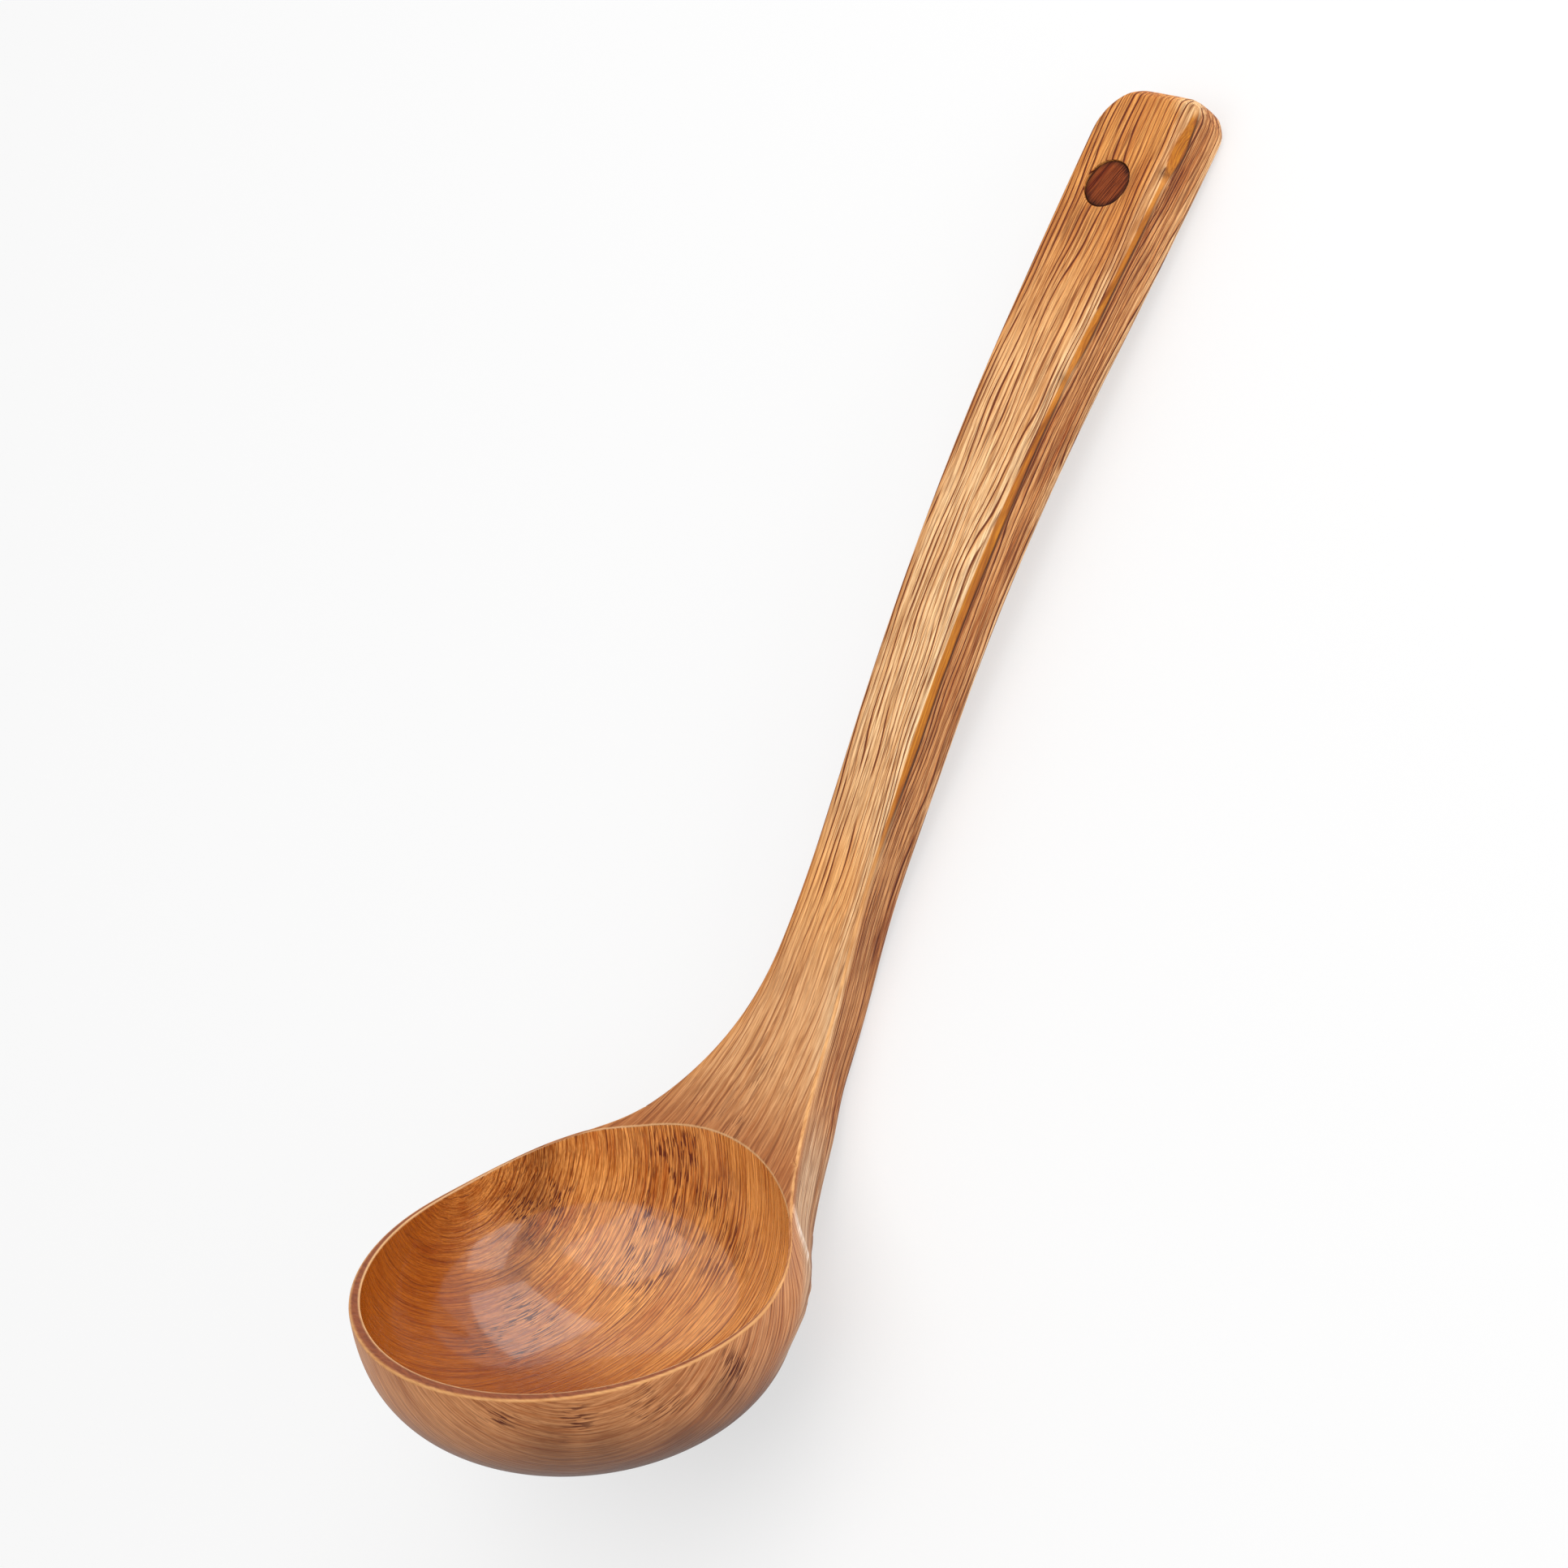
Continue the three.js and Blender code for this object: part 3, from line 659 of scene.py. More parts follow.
OUTER_PATCHES = [(-32, -32, -5, 5), (-18, -41, -7, 6), (0, -45, -7, 8), (-40, -20, -5, 4)]
DARK_PATCHES = [(26, 36, 1, 5), (23, 37, -7, 6), (19, 37, -15, 6), (14, 35, -20, 5)]
OUTER_DARK = [(-34, -27, -12, 8), (-27, -34, -14, 7), (-3, -44, -10, 4), (-12, -40, -18, 5)]


def strip_place(points):
    """Place of the bowl's points in the strip: along its face line, across it, and behind it."""
    x, height = points[..., 0] - SWEEP_START, SWEEP - points[..., 2]
    along = SWEEP * np.maximum(np.arctan2(x, height), 0)
    return along, points[..., 1], np.hypot(x, height) - SWEEP


def patches(points, places):
    """1 in the middle of each patch, fading round it."""
    found = np.zeros(points.shape[:-1])
    for *centre, size in places:
        found = np.maximum(found, hump(np.linalg.norm(points - centre, axis=-1), 0, size))
    return found


neck_mask = smoothstep(0.4, 1.8, excess)
# darker towards the bottom: painted shade where less light reaches the underside
wall_tint = mix(TAN, TAN_SHADE_AND_STREAK, smoothstep(-4, -30, outside[..., 2]))
wall_tint = mix(wall_tint, TAN_SHADE_AND_STREAK, 0.4 * patches(outside, OUTER_DARK))
wall_tint = mix(wall_tint, strip_tint(*strip_place(outside)), neck_mask)
# a painted glint along the crest of the ridge on the right
wall_tint = mix(wall_tint, RIDGE_GLINT_PAINT, 0.8 * ridge * smoothstep(7, 2, outside[..., 2]))
rim_tint = mix(RIM_BROWN, strip_tint(*strip_place(rim_rows)), smoothstep(4, 18, rim_rows[..., 0]))
# the rim's two pale edges: worn wood with a painted highlight laid on, the inner one stronger at the front
outer_wear_highlight, inner_wear_highlight = np.zeros(rim_rows.shape[:2]), np.zeros(rim_rows.shape[:2])
outer_wear_highlight[:3] = OUTER_WEAR_AND_HIGHLIGHT * np.where(at_seam, 1 - beside / ARRIS, 1)
inner_wear_highlight[-2:] = INNER_WEAR_AND_HIGHLIGHT
inner_wear_highlight[-3:-1] += 0.5 * smoothstep(20, -5, rim_rows[-3:-1, :, 0])
rim_tint = mix(mix(rim_tint, GOLD_WEAR_AND_HIGHLIGHT, outer_wear_highlight), PALE_WEAR_AND_HIGHLIGHT, inner_wear_highlight)
# lighter towards the neck: painted light on the hollow's back wall, which lies in shade
hollow_tint = mix(HOLLOW, HOLLOW_PAINTED_LIGHT, smoothstep(-5, 30, hollow[..., 0]))
hollow_tint = mix(hollow_tint, HOLLOW_SMOKE, 0.55 * patches(hollow, DARK_PATCHES))
# the same pale edge just inside the hollow: wear with a painted highlight
hollow_tint = mix(hollow_tint, PALE_WEAR_AND_HIGHLIGHT, 0.6 * smoothstep(0.2, 0.0, edge_height - hollow[..., 2]))
print("bowl tints", wall_tint.shape, rim_tint.shape, hollow_tint.shape)

# %% Force of the bowl's figure
RIM_FORCE = np.array([0.6, 0.2, 0.15])
PLAIN_PORES, OUTER_PORES, HOLLOW_PORES = 0.15, 0.9, 1.4
from_front = smoothstep(-30, 10, outside[..., 0])
wall_pores = PLAIN_PORES + OUTER_PORES * patches(outside, OUTER_PATCHES)
wall_force = np.stack([np.full(wall.shape, 1.0), wall_pores, 0.3 + 0.35 * from_front], -1)
wall_force = mix(wall_force, strip_force(*strip_place(outside)), neck_mask)
rim_force = mix(RIM_FORCE, strip_force(*strip_place(rim_rows)), smoothstep(8, 22, rim_rows[..., 0]))
rim_force *= (1 - np.maximum(0.5 * outer_wear_highlight, 0.9 * inner_wear_highlight))[..., None]
to_neck = smoothstep(-5, 25, hollow[..., 0])
hollow_pores = PLAIN_PORES + HOLLOW_PORES * patches(hollow, OPEN_PATCHES)
hollow_force = np.stack([1.0 + 0.4 * to_neck, hollow_pores, 0.45 + 0.4 * to_neck], -1)
print("pores in the hollow up to", round(float(hollow_pores.max()), 2))

# %% [markdown]
# The meshes are made from lists of points and faces, because each point has to carry its place in the
# wood. One helper serves all four pieces: it lays the piece down, stores the layers as attributes that
# the materials read, welds points that fall together, and keeps only the hard creases sharp.

# %% Helpers for meshes
WELD = 2e-6  # points closer than this, in metres, become one


def ring_faces(rows, columns):
    """Squares between rows of points that each go once round the piece."""
    faces = []
    for i in range(rows - 1):
        for j in range(columns):
            a, b = i * columns + j, i * columns + (j + 1) % columns
            faces.append((a, b, b + columns, a + columns))
    return faces


def make_piece(name, points, faces, layers, node, materials, face_material=None, crease=38):
    """Mesh from points in the upright frame, with its layers of grain, force and tint."""
    mesh = bpy.data.meshes.new(name)
    mesh.from_pydata(lay_down(points).tolist(), [], faces)
    for layer, values in layers.items():
        kind, key = "FLOAT_VECTOR", "vector"
        if layer == "tint":
            kind, key = "FLOAT_COLOR", "color"
            values = np.concatenate([values, np.ones((len(values), 1))], 1)
        elif values.ndim == 1:
            kind, key = "FLOAT", "value"
        data = mesh.attributes.new(layer, kind, "POINT").data
        data.foreach_set(key, values.astype(np.float32).ravel())
    for material in materials:
        mesh.materials.append(material)
    if face_material is not None:
        mesh.polygons.foreach_set("material_index", face_material)
    welded = bmesh.new()
    welded.from_mesh(mesh)
    bmesh.ops.remove_doubles(welded, verts=welded.verts, dist=WELD)
    bmesh.ops.recalc_face_normals(welded, faces=welded.faces)
    welded.to_mesh(mesh)
    welded.free()
    mesh.polygons.foreach_set("use_smooth", [True] * len(mesh.polygons))
    mesh.set_sharp_from_angle(angle=np.radians(crease))
    piece = bpy.data.objects.new(name, mesh)
    scene.collection.objects.link(piece)
    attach(piece, "root")
    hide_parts(node)
    print(name, len(mesh.vertices), "points", len(mesh.polygons), "faces")


print("points closer than", WELD, "m are welded")

# %% Mesh of the bowl
OUTER_AXIS, INNER_AXIS = (-0.6, -0.66, 0.45), (0.17, 0.97, 0.05)
OUTER_RADIUS, INNER_RADIUS = 40.0, 50.0
bottom = np.array([SETBACK, 0, -DEPTH])
well = np.array([SETBACK, 0, FLOOR - DEPTH])


def stack_rows(first, second, third, ends):
    """One list of points from the outside, the rim, the hollow and the two middle points."""
    return np.concatenate([first.reshape(-1, 3), second.reshape(-1, 3), third.reshape(-1, 3), ends])


points = stack_rows(outside, rim_rows, hollow, [bottom, well])
tints = stack_rows(wall_tint, rim_tint, hollow_tint, [TAN_SHADE_AND_STREAK, HOLLOW])
force = stack_rows(wall_force, rim_force, hollow_force, [wall_force[0, 0], hollow_force[-1, 0]])
outer_grain = [round_grain(place, OUTER_AXIS, OUTER_RADIUS) for place in (outside, rim_rows, bottom)]
inner_grain = [round_grain(place, INNER_AXIS, INNER_RADIUS) for place in (hollow, well)]
around = stack_rows(*outer_grain[:2], inner_grain[0], [outer_grain[2], inner_grain[1]])
neck_grain = strip_grain(*strip_place(points))
rim_points, hollow_points = len(rim_rows) * COLUMNS, len(hollow) * COLUMNS
neck = np.concatenate([neck_mask.ravel(), np.ones(rim_points), np.zeros(hollow_points + 2)])
ROWS = len(outside) + len(rim_rows) + len(hollow)
faces = ring_faces(ROWS, COLUMNS)
in_hollow = [int(i // COLUMNS >= len(outside) + len(rim_rows) - 1) for i in range(len(faces))]
last = (ROWS - 1) * COLUMNS
for j in range(COLUMNS):
    k = (j + 1) % COLUMNS
    faces += [(j, len(points) - 2, k), (last + j, last + k, len(points) - 1)]
    in_hollow += [0, 1]
layers = {"grain": neck_grain, "round_grain": around, "neck": neck, "force": force, "tint": tints}
make_piece("ladle_bowl", points, faces, layers, "bowl", [bowl_wood, hollow_wood],
           in_hollow, crease=60)

# %% [markdown]
# ## Handle
# The handle is a strip of rounded sections. A bevelled curve would carry one section all the way, but
# here the section changes, so each one is worked out. It starts at the right front edge and goes once
# round: front face, left edge, left side, back, right side, and the amber chamfer at the right edge.
# The chamfer was cut by eye, in long strokes that thin out between them and a short one at the tip, so
# its width wanders. The first section lies on the seam's cylinder. The tip is round on the left and
# tighter on the right, and its end is domed.

# %% Knife strokes and tip
TIP_LEFT, TIP_RIGHT, TIP_FRONT, TIP_BACK, TIP_BULGE = 11.0, 4.5, 2.2, 3.5, 1.6
STROKE_ENDS, TIP_STROKE, STROKE_FADE = (LENGTH - 66, LENGTH - 22), LENGTH - 12, 5.0


def strokes(along):
    """How deep the knife went along the right edge in its long strokes, and in a short one at the tip."""
    thinned = sum(hump(along, end, STROKE_FADE) for end in STROKE_ENDS)
    return 1 - 0.8 * thinned, hump(along, TIP_STROKE, STROKE_FADE)


def tip_inset(along, radius):
    """How far a rounding of the tip has drawn in the section."""
    into = np.clip(along - (LENGTH - radius), 0, radius)
    return radius - np.sqrt(radius ** 2 - into ** 2)


print("strokes end at", [round(float(end), 1) for end in STROKE_ENDS], "of", round(LENGTH, 1), "mm")

# %% One section of the handle
BACK_ROUND = 2.0
RIGHT_SPARE, LEFT_WEAR = 0.45, 0.25  # wood left at the right edge, wear of the left one
CROWN, BRINK = 0.22, 0.25  # fall of the face to its edges, and distance of the lines beside the chamfer
SETTLED_STRETCH, CUT_STRETCH = (46, 75), (88, 130)
WAVE, SLOW_WAVE, WAVE_SWING = 11.0, 17.0, 1.7
CUT_WIDE, WIDE_WAVE, TIP_WIDE = 0.1, 0.45, 1.4
CUT_DEEP, STROKE_DEEP, DEEP_WAVE, TIP_DEEP = 0.3, 0.4, 0.5, 1.3
FACE_POINTS, LEFT_POINTS, RIGHT_POINTS = 15, 5, 7
FACE_GAP, BACK_GAP, LEFT_GAP, RIGHT_GAP = 0.3, 0.5, 1, 0.8  # between an edge and the next points
NECK_TAPER = 1.5  # the neck's sides lean in towards the back
CORNER, CUT_CORNER = np.radians([90, 60, 30, 0]), np.radians([15, 45, 75])
CUT_ACROSS, CUT_DOWN = np.array([0.03, 0.14, 0.8]), np.array([1, 0.85, 0.18])


def rounded(radius, angles):
    """Points of a rounded edge: how far they lie in from each of its two faces."""
    return radius * (1 - np.cos(angles)), radius * (1 - np.sin(angles))


def section(along):
    """Across and depth of one section's points, and which part of the section each belongs to."""
    width = float(half_width(np.interp(along, fine, fine_x)))
    settled, cutting = float(smoothstep(*SETTLED_STRETCH, along)), float(smoothstep(*CUT_STRETCH, along))
    right, left, ease = -(width + RIGHT_SPARE * settled), width, ARRIS + LEFT_WEAR * settled
    wave = 0.5 + 0.5 * np.sin(along / WAVE + WAVE_SWING * np.sin(along / SLOW_WAVE))
    stroke, tip_stroke = strokes(along)
    cut_wide = ARRIS + cutting * ((CUT_WIDE + WIDE_WAVE * wave) * stroke + TIP_WIDE * tip_stroke)
    deepened = CUT_DEEP + (STROKE_DEEP + DEEP_WAVE * wave) * stroke + TIP_DEEP * tip_stroke
    cut_deep = ARRIS + cutting * deepened
    front, back = tip_inset(along, TIP_FRONT), THICK - tip_inset(along, TIP_BACK)
    edge_in, edge_down = rounded(ease, CORNER)
    back_in, back_up = rounded(BACK_ROUND, CORNER)
    cut_in, cut_down = rounded(ARRIS, CUT_CORNER)
    cut_in = mix(cut_in, cut_wide * CUT_ACROSS, cutting)
    cut_down = mix(cut_down, cut_deep * CUT_DOWN + [0, 0.03, 0.2], cutting)
    inner = np.linspace(right + cut_wide + FACE_GAP, left - ease - FACE_GAP, FACE_POINTS)
    crown = CROWN * settled * np.abs(2 * (inner - inner[0]) / (inner[-1] - inner[0]) - 1) ** 4
    back_left, back_right = left - BACK_ROUND - BACK_GAP, right + BACK_ROUND + BACK_GAP
    left_start, right_start = front + ease + LEFT_GAP, front + cut_deep + RIGHT_GAP
    side_end = back - BACK_ROUND - BACK_GAP
    pieces = [
        ("face", [right + cut_wide], [front + BRINK * cutting]),
        ("face", inner, front + crown),
        ("left edge", left - edge_in, front + CROWN * settled + edge_down),
        ("left side", np.full(LEFT_POINTS, left), np.linspace(left_start, side_end, LEFT_POINTS)),
        ("back", left - back_in[::-1], back - back_up[::-1]),
        ("back flat", np.linspace(back_left, back_right, FACE_POINTS), np.full(FACE_POINTS, back)),
        ("back", right + back_in, back - back_up),
        ("right side", np.full(RIGHT_POINTS, right), np.linspace(side_end, right_start, RIGHT_POINTS)),
        ("brink", [right], [front + cut_deep + BRINK]),
        ("chamfer", right + cut_in, front + cut_down),
    ]
    across = np.concatenate([piece[1] for piece in pieces])
    depth = np.concatenate([piece[2] for piece in pieces])
    names = [piece[0] for piece in pieces for _ in piece[1]]
    tip_right = TIP_RIGHT + smoothstep(0, THICK, depth)
    lean = NECK_TAPER * smoothstep(48, 62, along) * smoothstep(140, 80, along) * depth / THICK
    inset = np.where(across < 0, tip_inset(along, tip_right), tip_inset(along, TIP_LEFT)) + lean
    return across * (1 - inset / np.where(across < 0, -right, left)), depth, names


parts_of = section(LENGTH / 2)[2]
RING = len(parts_of)
print("points in a section", RING)

# %% All sections of the handle
FOOT_REACH = SEAM + 0.02  # a hair outside the bowl's seam
JOIN, FINER, FINEST = 50.0, LENGTH - 30, LENGTH - 12  # sections lie closer round the plug and the tip


def seam_start(number):
    """Distance along the face line at which one line of the strip meets the seam."""
    low, high = 20.0, 60.0
    for _ in range(HALVINGS):
        mid = (low + high) / 2
        across, depth, _names = section(mid)
        x, y, _z = bend(mid, across[number], depth[number])
        if np.hypot(x, y) < FOOT_REACH:
            low = mid
        else:
            high = mid
    return high


starts = np.array([seam_start(j) for j in range(RING)])
stations = np.concatenate([np.arange(JOIN, FINER, 2.0)[1:], np.arange(FINER, FINEST - 0.5, 1.0),
                           np.linspace(FINEST, LENGTH - TIP_BACK, 8),
                           LENGTH - TIP_BACK * (1 - np.sin(np.linspace(0, 0.5 * np.pi, 12)[1:]))])
along_rows, across_rows, depth_rows = [], [], []
for share in np.linspace(0, 1, 7):
    row = starts + (JOIN - starts) * share
    found = [section(value) for value in row]
    along_rows.append(row)
    across_rows.append([found[j][0][j] for j in range(RING)])
    depth_rows.append([found[j][1][j] for j in range(RING)])
for value in stations:
    across, depth, _names = section(value)
    along_rows.append(np.full(RING, value))
    across_rows.append(across)
    depth_rows.append(depth)
along_rows, across_rows, depth_rows = map(np.array, (along_rows, across_rows, depth_rows))
dome = np.sin(np.pi * np.clip(depth_rows / THICK, 0, 1) ** 1.4)
along_rows = along_rows + TIP_BULGE * dome * smoothstep(LENGTH - 9, LENGTH, along_rows)
print("handle rows", along_rows.shape)

# %% [markdown]
# A round hole is cut into a net of squares by taking out a block of squares and sewing the block's edge
# to a circle of as many points. The hole for the plug goes right through. The hole for the peg is blind
# and opens only at the back.

# %% Holes of the handle
PLUG_ALONG, PLUG_ACROSS, PLUG_RADIUS = LENGTH - 22.6, 1.5, 5.45
PEG_ALONG, PEG_RADIUS, PEG_END = SWEEP * np.radians(35.76), 2.0, 2.2
PLAY, MARGIN = 0.12, 0.9  # between a hole and what fills it, and round the hole to the net
HOLE_EDGE = ((0.5, 0.0), (0.9, 0.0), (0.97, 0.03), (1.0, 0.15))  # way to the circle, and depth
coords = np.stack([along_rows, across_rows, depth_rows], -1).reshape(-1, 3).tolist()
faces = [list(face) for face in ring_faces(len(along_rows), RING)]
front_columns = [j for j, name in enumerate(parts_of) if name == "face"][1:]
back_columns = [j for j, name in enumerate(parts_of) if name == "back flat"]


def add_points(values):
    """Add points to the handle and return their numbers."""
    start = len(coords)
    coords.extend(np.asarray(values).tolist())
    return list(range(start, len(coords)))


def sew(first, second):
    """Join two rings of as many points with squares."""
    for k in range(len(first)):
        m = (k + 1) % len(first)
        faces.append([first[k], first[m], second[m], second[k]])


def open_hole(columns, wide, along, across, radius, squeeze=1.0):
    """Take out the squares round a hole and sew their edge to a circle, whose points it returns."""
    row = int(np.argmin(np.abs(along_rows[:, columns[0]] - along)))
    near = sorted(columns, key=lambda j: abs(across_rows[row, j] - across))[:wide]
    first, last = min(near), max(near)
    top = int(np.searchsorted(along_rows[:, first], along - radius - MARGIN)) - 1
    low = int(np.searchsorted(along_rows[:, first], along + radius + MARGIN))
    gone = {i * RING + j for i in range(top, low) for j in range(first, last)}
    faces[:] = [face for face in faces if face[0] not in gone]
    loop = [top * RING + j for j in range(first, last)] + [i * RING + last for i in range(top, low)]
    loop += [low * RING + j for j in range(last, first, -1)] + [i * RING + first for i in range(low, top, -1)]
    border = np.array(coords)[loop]
    angle = np.arctan2(border[:, 1] - across, border[:, 0] - along)
    order = np.argsort(angle)
    loop, border, angle = np.array(loop)[order].tolist(), border[order], angle[order]
    inward = 1 if border[:, 2].mean() < THICK / 2 else -1
    circle = np.stack([along + squeeze * radius * np.cos(angle), across + radius * np.sin(angle),
                       np.full(len(loop), border[:, 2].mean())], -1)
    rings = [loop]
    for share, sunk in HOLE_EDGE:
        rings.append(add_points(border * (1 - share) + circle * share + [0, 0, inward * sunk]))
    for outer, inner in zip(rings, rings[1:]):
        sew(outer, inner)
    return rings[-1]


front_hole = open_hole(front_columns, 10, PLUG_ALONG, PLUG_ACROSS, PLUG_RADIUS + PLAY)
back_hole = open_hole(back_columns, 10, PLUG_ALONG, PLUG_ACROSS, PLUG_RADIUS + PLAY)
sew(front_hole, back_hole)
peg_hole = open_hole(back_columns, 6, PEG_ALONG, 0.0, PEG_RADIUS + PLAY, SWEEP / (SWEEP + THICK))
floor = np.array(coords)[peg_hole]
floor[:, 2] = PEG_END
peg_floor = add_points(floor)
sew(peg_hole, peg_floor)
hub = add_points([floor.mean(0)])[0]
faces += [[peg_floor[k - 1], peg_floor[k], hub] for k in range(len(peg_floor))]
print("round holes with", len(front_hole), len(back_hole), len(peg_hole), "points")

# %% [markdown]
# The tip is closed with a fan. The foot follows the seam's cylinder, so it is closed with rings that
# shrink on that cylinder. Then the strip is bent to shape.
#
# The strip's tints hold here too. The chamfer is golden at the neck, worn wood with a painted highlight,
# and amber further up, deeper towards the side and ended there by a dark line. The amber fades between
# the strokes and breaks off below the tip, two dark nicks sit on the edge where strokes end, and a pale
# painted glint lies on the tip's right corner.

# %% Tip and tints of the handle
AMBER, AMBER_DEEP, AMBER_LINE = tint("b86e14"), tint("8a4a06"), tint("4a2208")
CUT_TINTS = [(AMBER_LINE, 1.0), (AMBER_DEEP, 1.0), (AMBER, 1.0), (AMBER, 0.9)]
CUT_FORCE = (0.9, 0.3, 0.3)  # shares of the strip's force on the chamfer
AMBER_BREAK, BREAK_SIZE = LENGTH - 19.5, 1.5
NICKS, NICK_SIZE = [(LENGTH - 18, 0.8), (LENGTH - 67, 0.7)], 1.3  # place and darkness
last_ring = (len(along_rows) - 1) * RING
hub = add_points([np.array(coords)[last_ring:last_ring + RING].mean(0) + [0.25, 0, 0]])[0]
faces += [[last_ring + j, last_ring + (j + 1) % RING, hub] for j in range(RING)]
coords = np.array(coords)
along, across, depth = coords.T
handle_tint = strip_tint(along, across, depth)
handle_force = strip_force(along, across, depth)
cut = smoothstep(90, 125, along) * (1 - hump(along, AMBER_BREAK, BREAK_SIZE))
cut = cut * (0.3 + 0.7 * np.maximum(*strokes(along)))
cut_columns = [j for j, name in enumerate(parts_of) if name in ("brink", "chamfer")]
# towards the neck the chamfer turns golden: worn edge with a painted highlight
for j, (colour, share) in zip(cut_columns, CUT_TINTS):
    column = slice(j, last_ring + RING, RING)
    if colour is not AMBER_LINE:
        handle_tint[column] = mix(FACE_LEFT, GOLD_WEAR_AND_HIGHLIGHT, smoothstep(130, 90, along[column]))
    handle_tint[column] = mix(handle_tint[column], colour, share * cut[column])
    handle_force[column] *= CUT_FORCE
# a painted glint on the tip's right corner
tip_glint = smoothstep(LENGTH - 5, LENGTH - 2, along) * smoothstep(-5, -9, across) * smoothstep(5, 2, depth)
handle_tint = mix(handle_tint, PALE_WEAR_AND_HIGHLIGHT, 0.8 * tip_glint)
edge_gap = half_width(np.interp(along, fine, fine_x)) + across
on_edge = hump(edge_gap, 0.6, 1.2) * hump(depth, 0.8, 1.2)
for nick, darkness in NICKS:
    handle_tint = mix(handle_tint, AMBER_LINE, darkness * hump(along, nick, NICK_SIZE) * on_edge)
print("handle tints", handle_tint.shape, "with", len(NICKS), "nicks")

# %% Foot and mesh of the handle
points = bend(along, across, depth)
grain = strip_grain(along, across, depth)
foot = points[:RING]
foot_turn, foot_height = np.arctan2(foot[:, 1], foot[:, 0]), foot[:, 2]
middle = foot_height.mean()
rings = [list(range(RING))]
cap_points = []
for share in (0.75, 0.5, 0.25):
    turned = foot_turn * share
    ring = np.stack([FOOT_REACH * np.cos(turned), FOOT_REACH * np.sin(turned),
                     middle + (foot_height - middle) * share], -1)
    start = len(points) + len(cap_points)
    rings.append(list(range(start, start + RING)))
    cap_points.extend(ring.tolist())
cap_points.append([FOOT_REACH, 0, middle])
for outer, inner in zip(rings, rings[1:]):
    sew(outer, inner)
hub = len(points) + len(cap_points) - 1
faces += [[rings[-1][j], rings[-1][(j + 1) % RING], hub] for j in range(RING)]
cap_shape = (len(cap_points), 3)
points = np.concatenate([points, cap_points])
layers = {"grain": np.concatenate([grain, cap_points]),
          "force": np.concatenate([handle_force, np.broadcast_to(handle_force[0], cap_shape)]),
          "tint": np.concatenate([handle_tint, np.broadcast_to(SIDE, cap_shape)])}
make_piece("ladle_handle", points, faces, layers, "handle", [handle_wood])

# %% [markdown]
# ## Plug and peg
# The dark plug fills the bored end of the handle, a hair below the face, with a slightly crowned and
# eased end. Its own grain runs askew to the handle's. The peg is a plain dowel that locks the joint from
# behind. Both are turned shapes, so each is a profile carried round an axis. A cylinder with a bevel
# would do for a straight strip, but these bend with the handle and carry their grain.

# %% Plug and peg
DOWEL_SIDES, DOWEL_FORCE = 64, (2.0, 0.9, 0.9)
DOWEL_END = [(0.25, 0.0), (0.5, 0.01), (0.75, 0.04), (0.92, 0.09), (0.97, 0.16), (1.0, 0.34)]
FAR_GRAIN, CLOSE_GRAIN = 300, 1.6  # another stretch of the figure, with its lines closer together
SUNK, PEG_PLAY = 0.2, 0.1  # ends below the handle's faces, and room under the peg


def dowel(name, place, radius, ends, twist, colours, node, material, curved=False):
    """Round piece in the handle between two depths; a curved one narrows with the bent strip."""
    (along, across), (front, back) = place, ends
    turn = np.linspace(0, 2 * np.pi, DOWEL_SIDES, endpoint=False)
    rings = [(radius * r, front + d) for r, d in DOWEL_END]
    rings += [(radius * r, back - d) for r, d in DOWEL_END[::-1]]
    local = np.array([[(r * np.cos(t), r * np.sin(t), d) for t in turn] for r, d in rings]).reshape(-1, 3)
    local = np.concatenate([local, [(0, 0, front), (0, 0, back)]])
    x, y, depth = local.T
    squeeze = 1 / (1 + depth / SWEEP) if curved else 1.0
    points = bend(along + x * squeeze, across + y, depth)
    faces = ring_faces(len(rings), DOWEL_SIDES)
    last = (len(rings) - 1) * DOWEL_SIDES
    for k in range(DOWEL_SIDES):
        m = (k + 1) % DOWEL_SIDES
        faces += [(m, k, len(points) - 2), (last + k, last + m, len(points) - 1)]
    grain = np.stack([x * np.cos(twist) + y * np.sin(twist) + FAR_GRAIN,
                      CLOSE_GRAIN * (y * np.cos(twist) - x * np.sin(twist)), depth], -1)
    tints = mix(*colours, smoothstep(0.8, 1.0, np.hypot(x, y) / radius))
    layers = {"grain": grain, "force": np.broadcast_to(DOWEL_FORCE, tints.shape), "tint": tints}
    make_piece(name, points, faces, layers, node, [material])


dowel("dark_plug", (PLUG_ALONG, PLUG_ACROSS), PLUG_RADIUS, (SUNK, THICK - SUNK), np.radians(-20),
      (tint("843c17"), tint("3c1b0a")), "hole_plug", plug_wood)
dowel("joint_dowel", (PEG_ALONG, 0.0), PEG_RADIUS, (PEG_END + PEG_PLAY, THICK - SUNK), np.radians(70),
      (tint("a9743c"), tint("8a5a2c")), "joint_peg", peg_wood, curved=True)

# %% [markdown]
# ## Table, light and background
# A plain white table carries the ladle and keeps its shadow. One large soft lamp hangs over the ladle, two
# smaller ones stand beyond the handle's end and at the right, where the polished hollow mirrors them. The
# white surroundings fill the rest. Table and surroundings are whiter for the camera and for reflections
# only, so that they add no light of their own.

# %% Table
TABLE_HALF, TABLE_DROP = 3, 0.0002  # metres; the drop keeps the table clear of the ladle's flats
TABLE_WHITE, TABLE_ROUGHNESS, TABLE_GLOW = 0.93, 0.7, 0.6


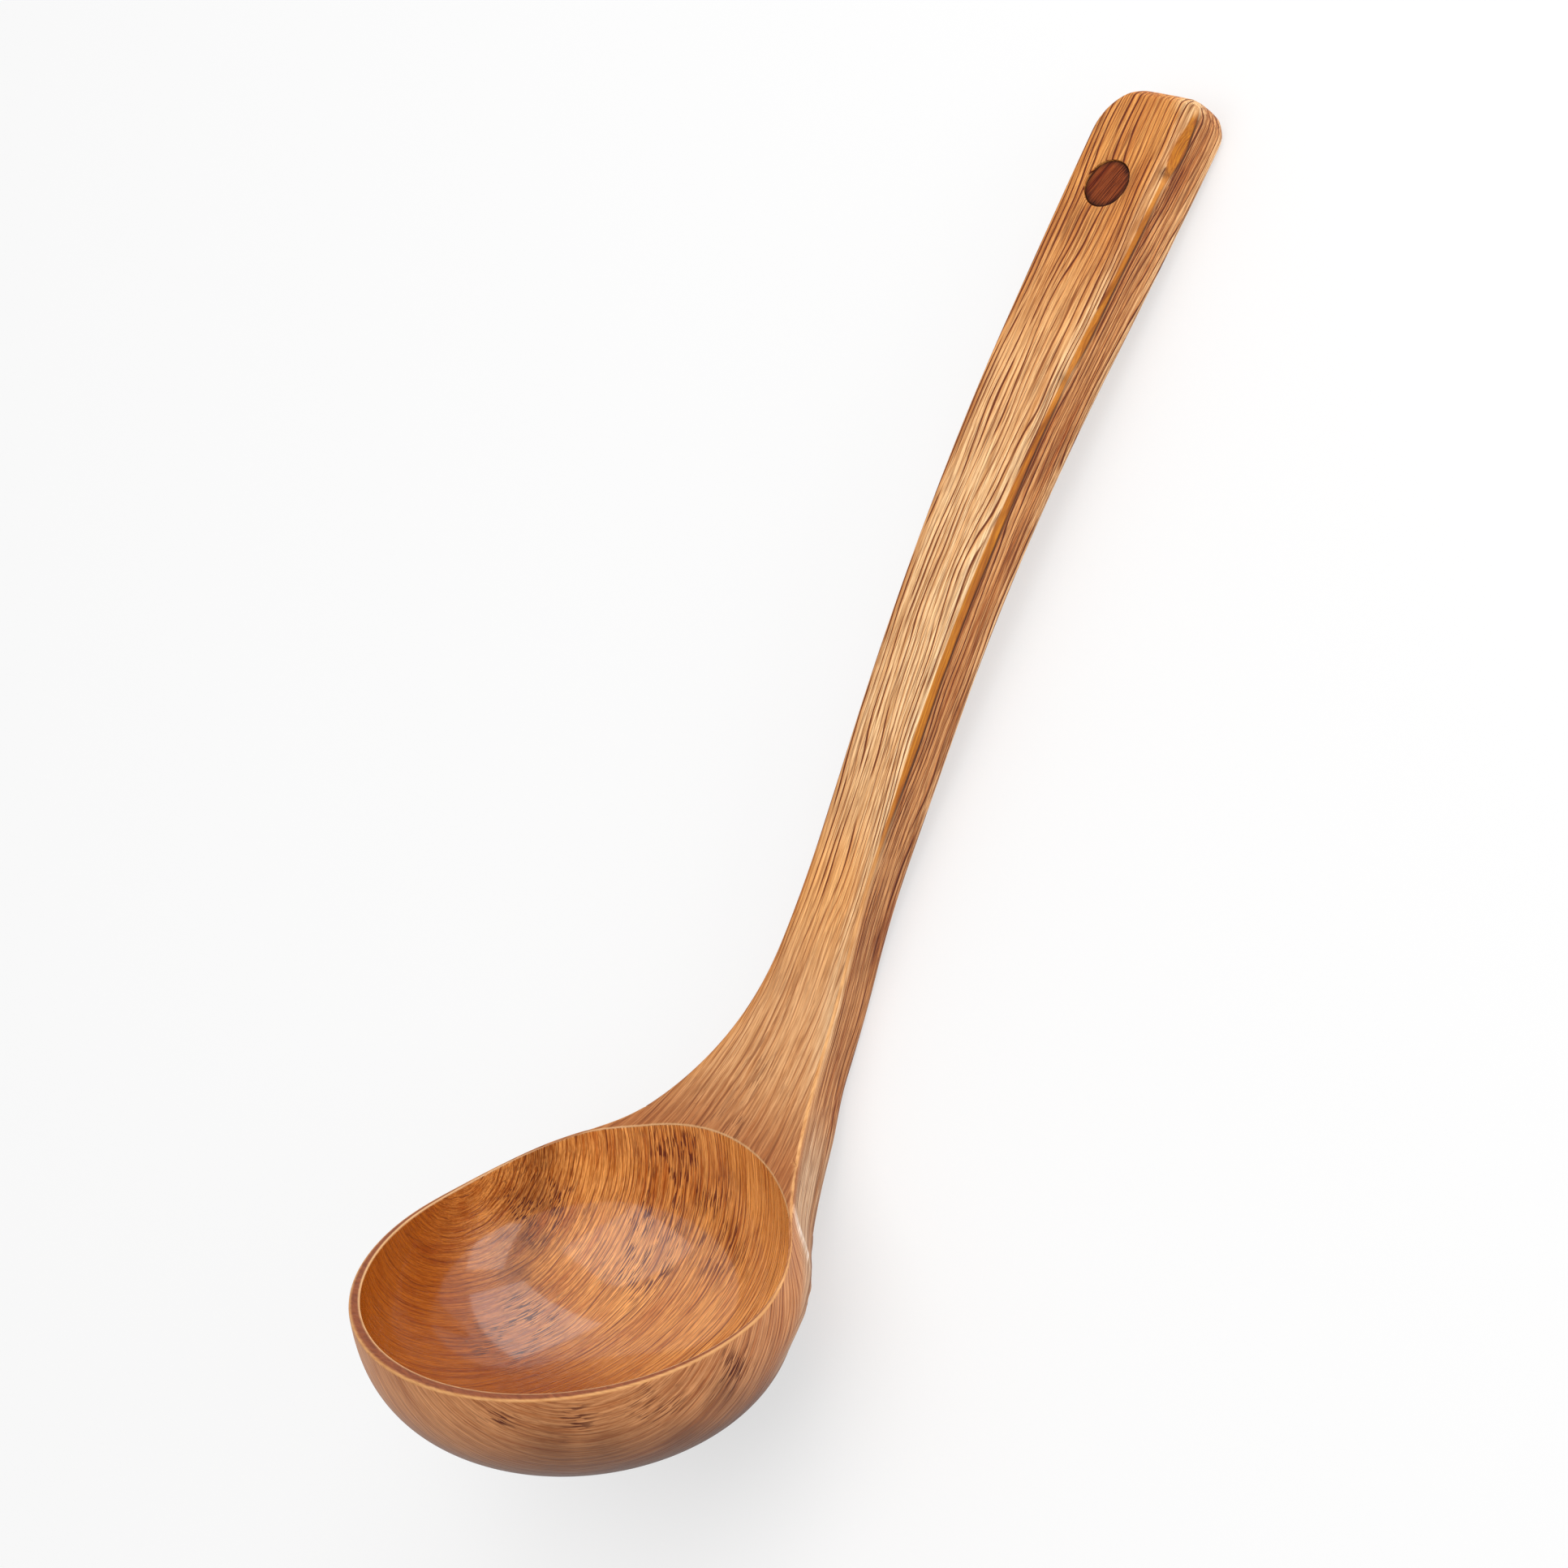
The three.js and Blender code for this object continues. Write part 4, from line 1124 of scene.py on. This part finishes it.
def seen_rays(tree):
    """One for rays from the camera and from reflections, zero for rays that carry light."""
    rays = add(tree, "LightPath").outputs
    mirrored = calc(tree, "MAXIMUM", rays["Is Glossy Ray"], rays["Is Transmission Ray"])
    return calc(tree, "MAXIMUM", rays["Is Camera Ray"], mirrored)


floor_mesh = bpy.data.meshes.new("table")
corners = [(-1, -1), (1, -1), (1, 1), (-1, 1)]
floor_mesh.from_pydata([(TABLE_HALF * x, TABLE_HALF * y, 0) for x, y in corners], [], [(0, 1, 2, 3)])
table = bpy.data.objects.new("table", floor_mesh)
scene.collection.objects.link(table)
table.location.z = -TABLE_DROP
table_paint = bpy.data.materials.new("table paint")
table_paint.use_nodes = True
tree = table_paint.node_tree
paint = tree.nodes["Principled BSDF"]
paint.inputs["Base Color"].default_value = (TABLE_WHITE, TABLE_WHITE, TABLE_WHITE, 1)
paint.inputs["Roughness"].default_value = TABLE_ROUGHNESS
glow = add(tree, "Emission", {"Color": (1, 1, 1, 1), "Strength": 1.0})
glow_share = calc(tree, "MULTIPLY", seen_rays(tree), TABLE_GLOW)
joined = add(tree, "MixShader", {0: glow_share, 1: paint.outputs[0], 2: glow.outputs[0]})
tree.links.new(joined.outputs[0], tree.nodes["Material Output"].inputs["Surface"])
floor_mesh.materials.append(table_paint)
print("table", 2 * TABLE_HALF, "m wide")

# %% Lamps and surroundings
FILL = 0.48  # light of the white surroundings


def soft_lamp(name, place, aim, size, power):
    """Rectangular lamp that looks from its place at its aim; metres and watts."""
    data = bpy.data.lights.new(name, "AREA")
    data.shape = "RECTANGLE"
    data.size, data.size_y = size
    data.energy = power
    lamp = bpy.data.objects.new(name, data)
    scene.collection.objects.link(lamp)
    lamp.location = place
    lamp.rotation_euler = (Vector(aim) - Vector(place)).to_track_quat("-Z", "Y").to_euler()


soft_lamp("top lamp", (-0.1, -0.1, 1.25), aim=(-0.05, 0, 0), size=(1.25, 1.1), power=6.7)
soft_lamp("end lamp", (0.92, -0.12, 0.38), aim=(-0.12, 0.02, 0.02), size=(1.0, 0.65), power=5.0)
soft_lamp("right lamp", (0.2, -0.92, 0.22), aim=(-0.1, 0, 0.03), size=(0.75, 0.45), power=2.5)

surroundings = bpy.data.worlds.new("surroundings")
scene.world = surroundings
surroundings.use_nodes = True
tree = surroundings.node_tree
background = tree.nodes["Background"]
background.inputs["Color"].default_value = (1, 1, 1, 1)
tree.links.new(ramp(tree, seen_rays(tree), 0.0, 1.0, FILL, 1.0), background.inputs["Strength"])
print("lamps:", [lamp.name for lamp in bpy.data.lights])
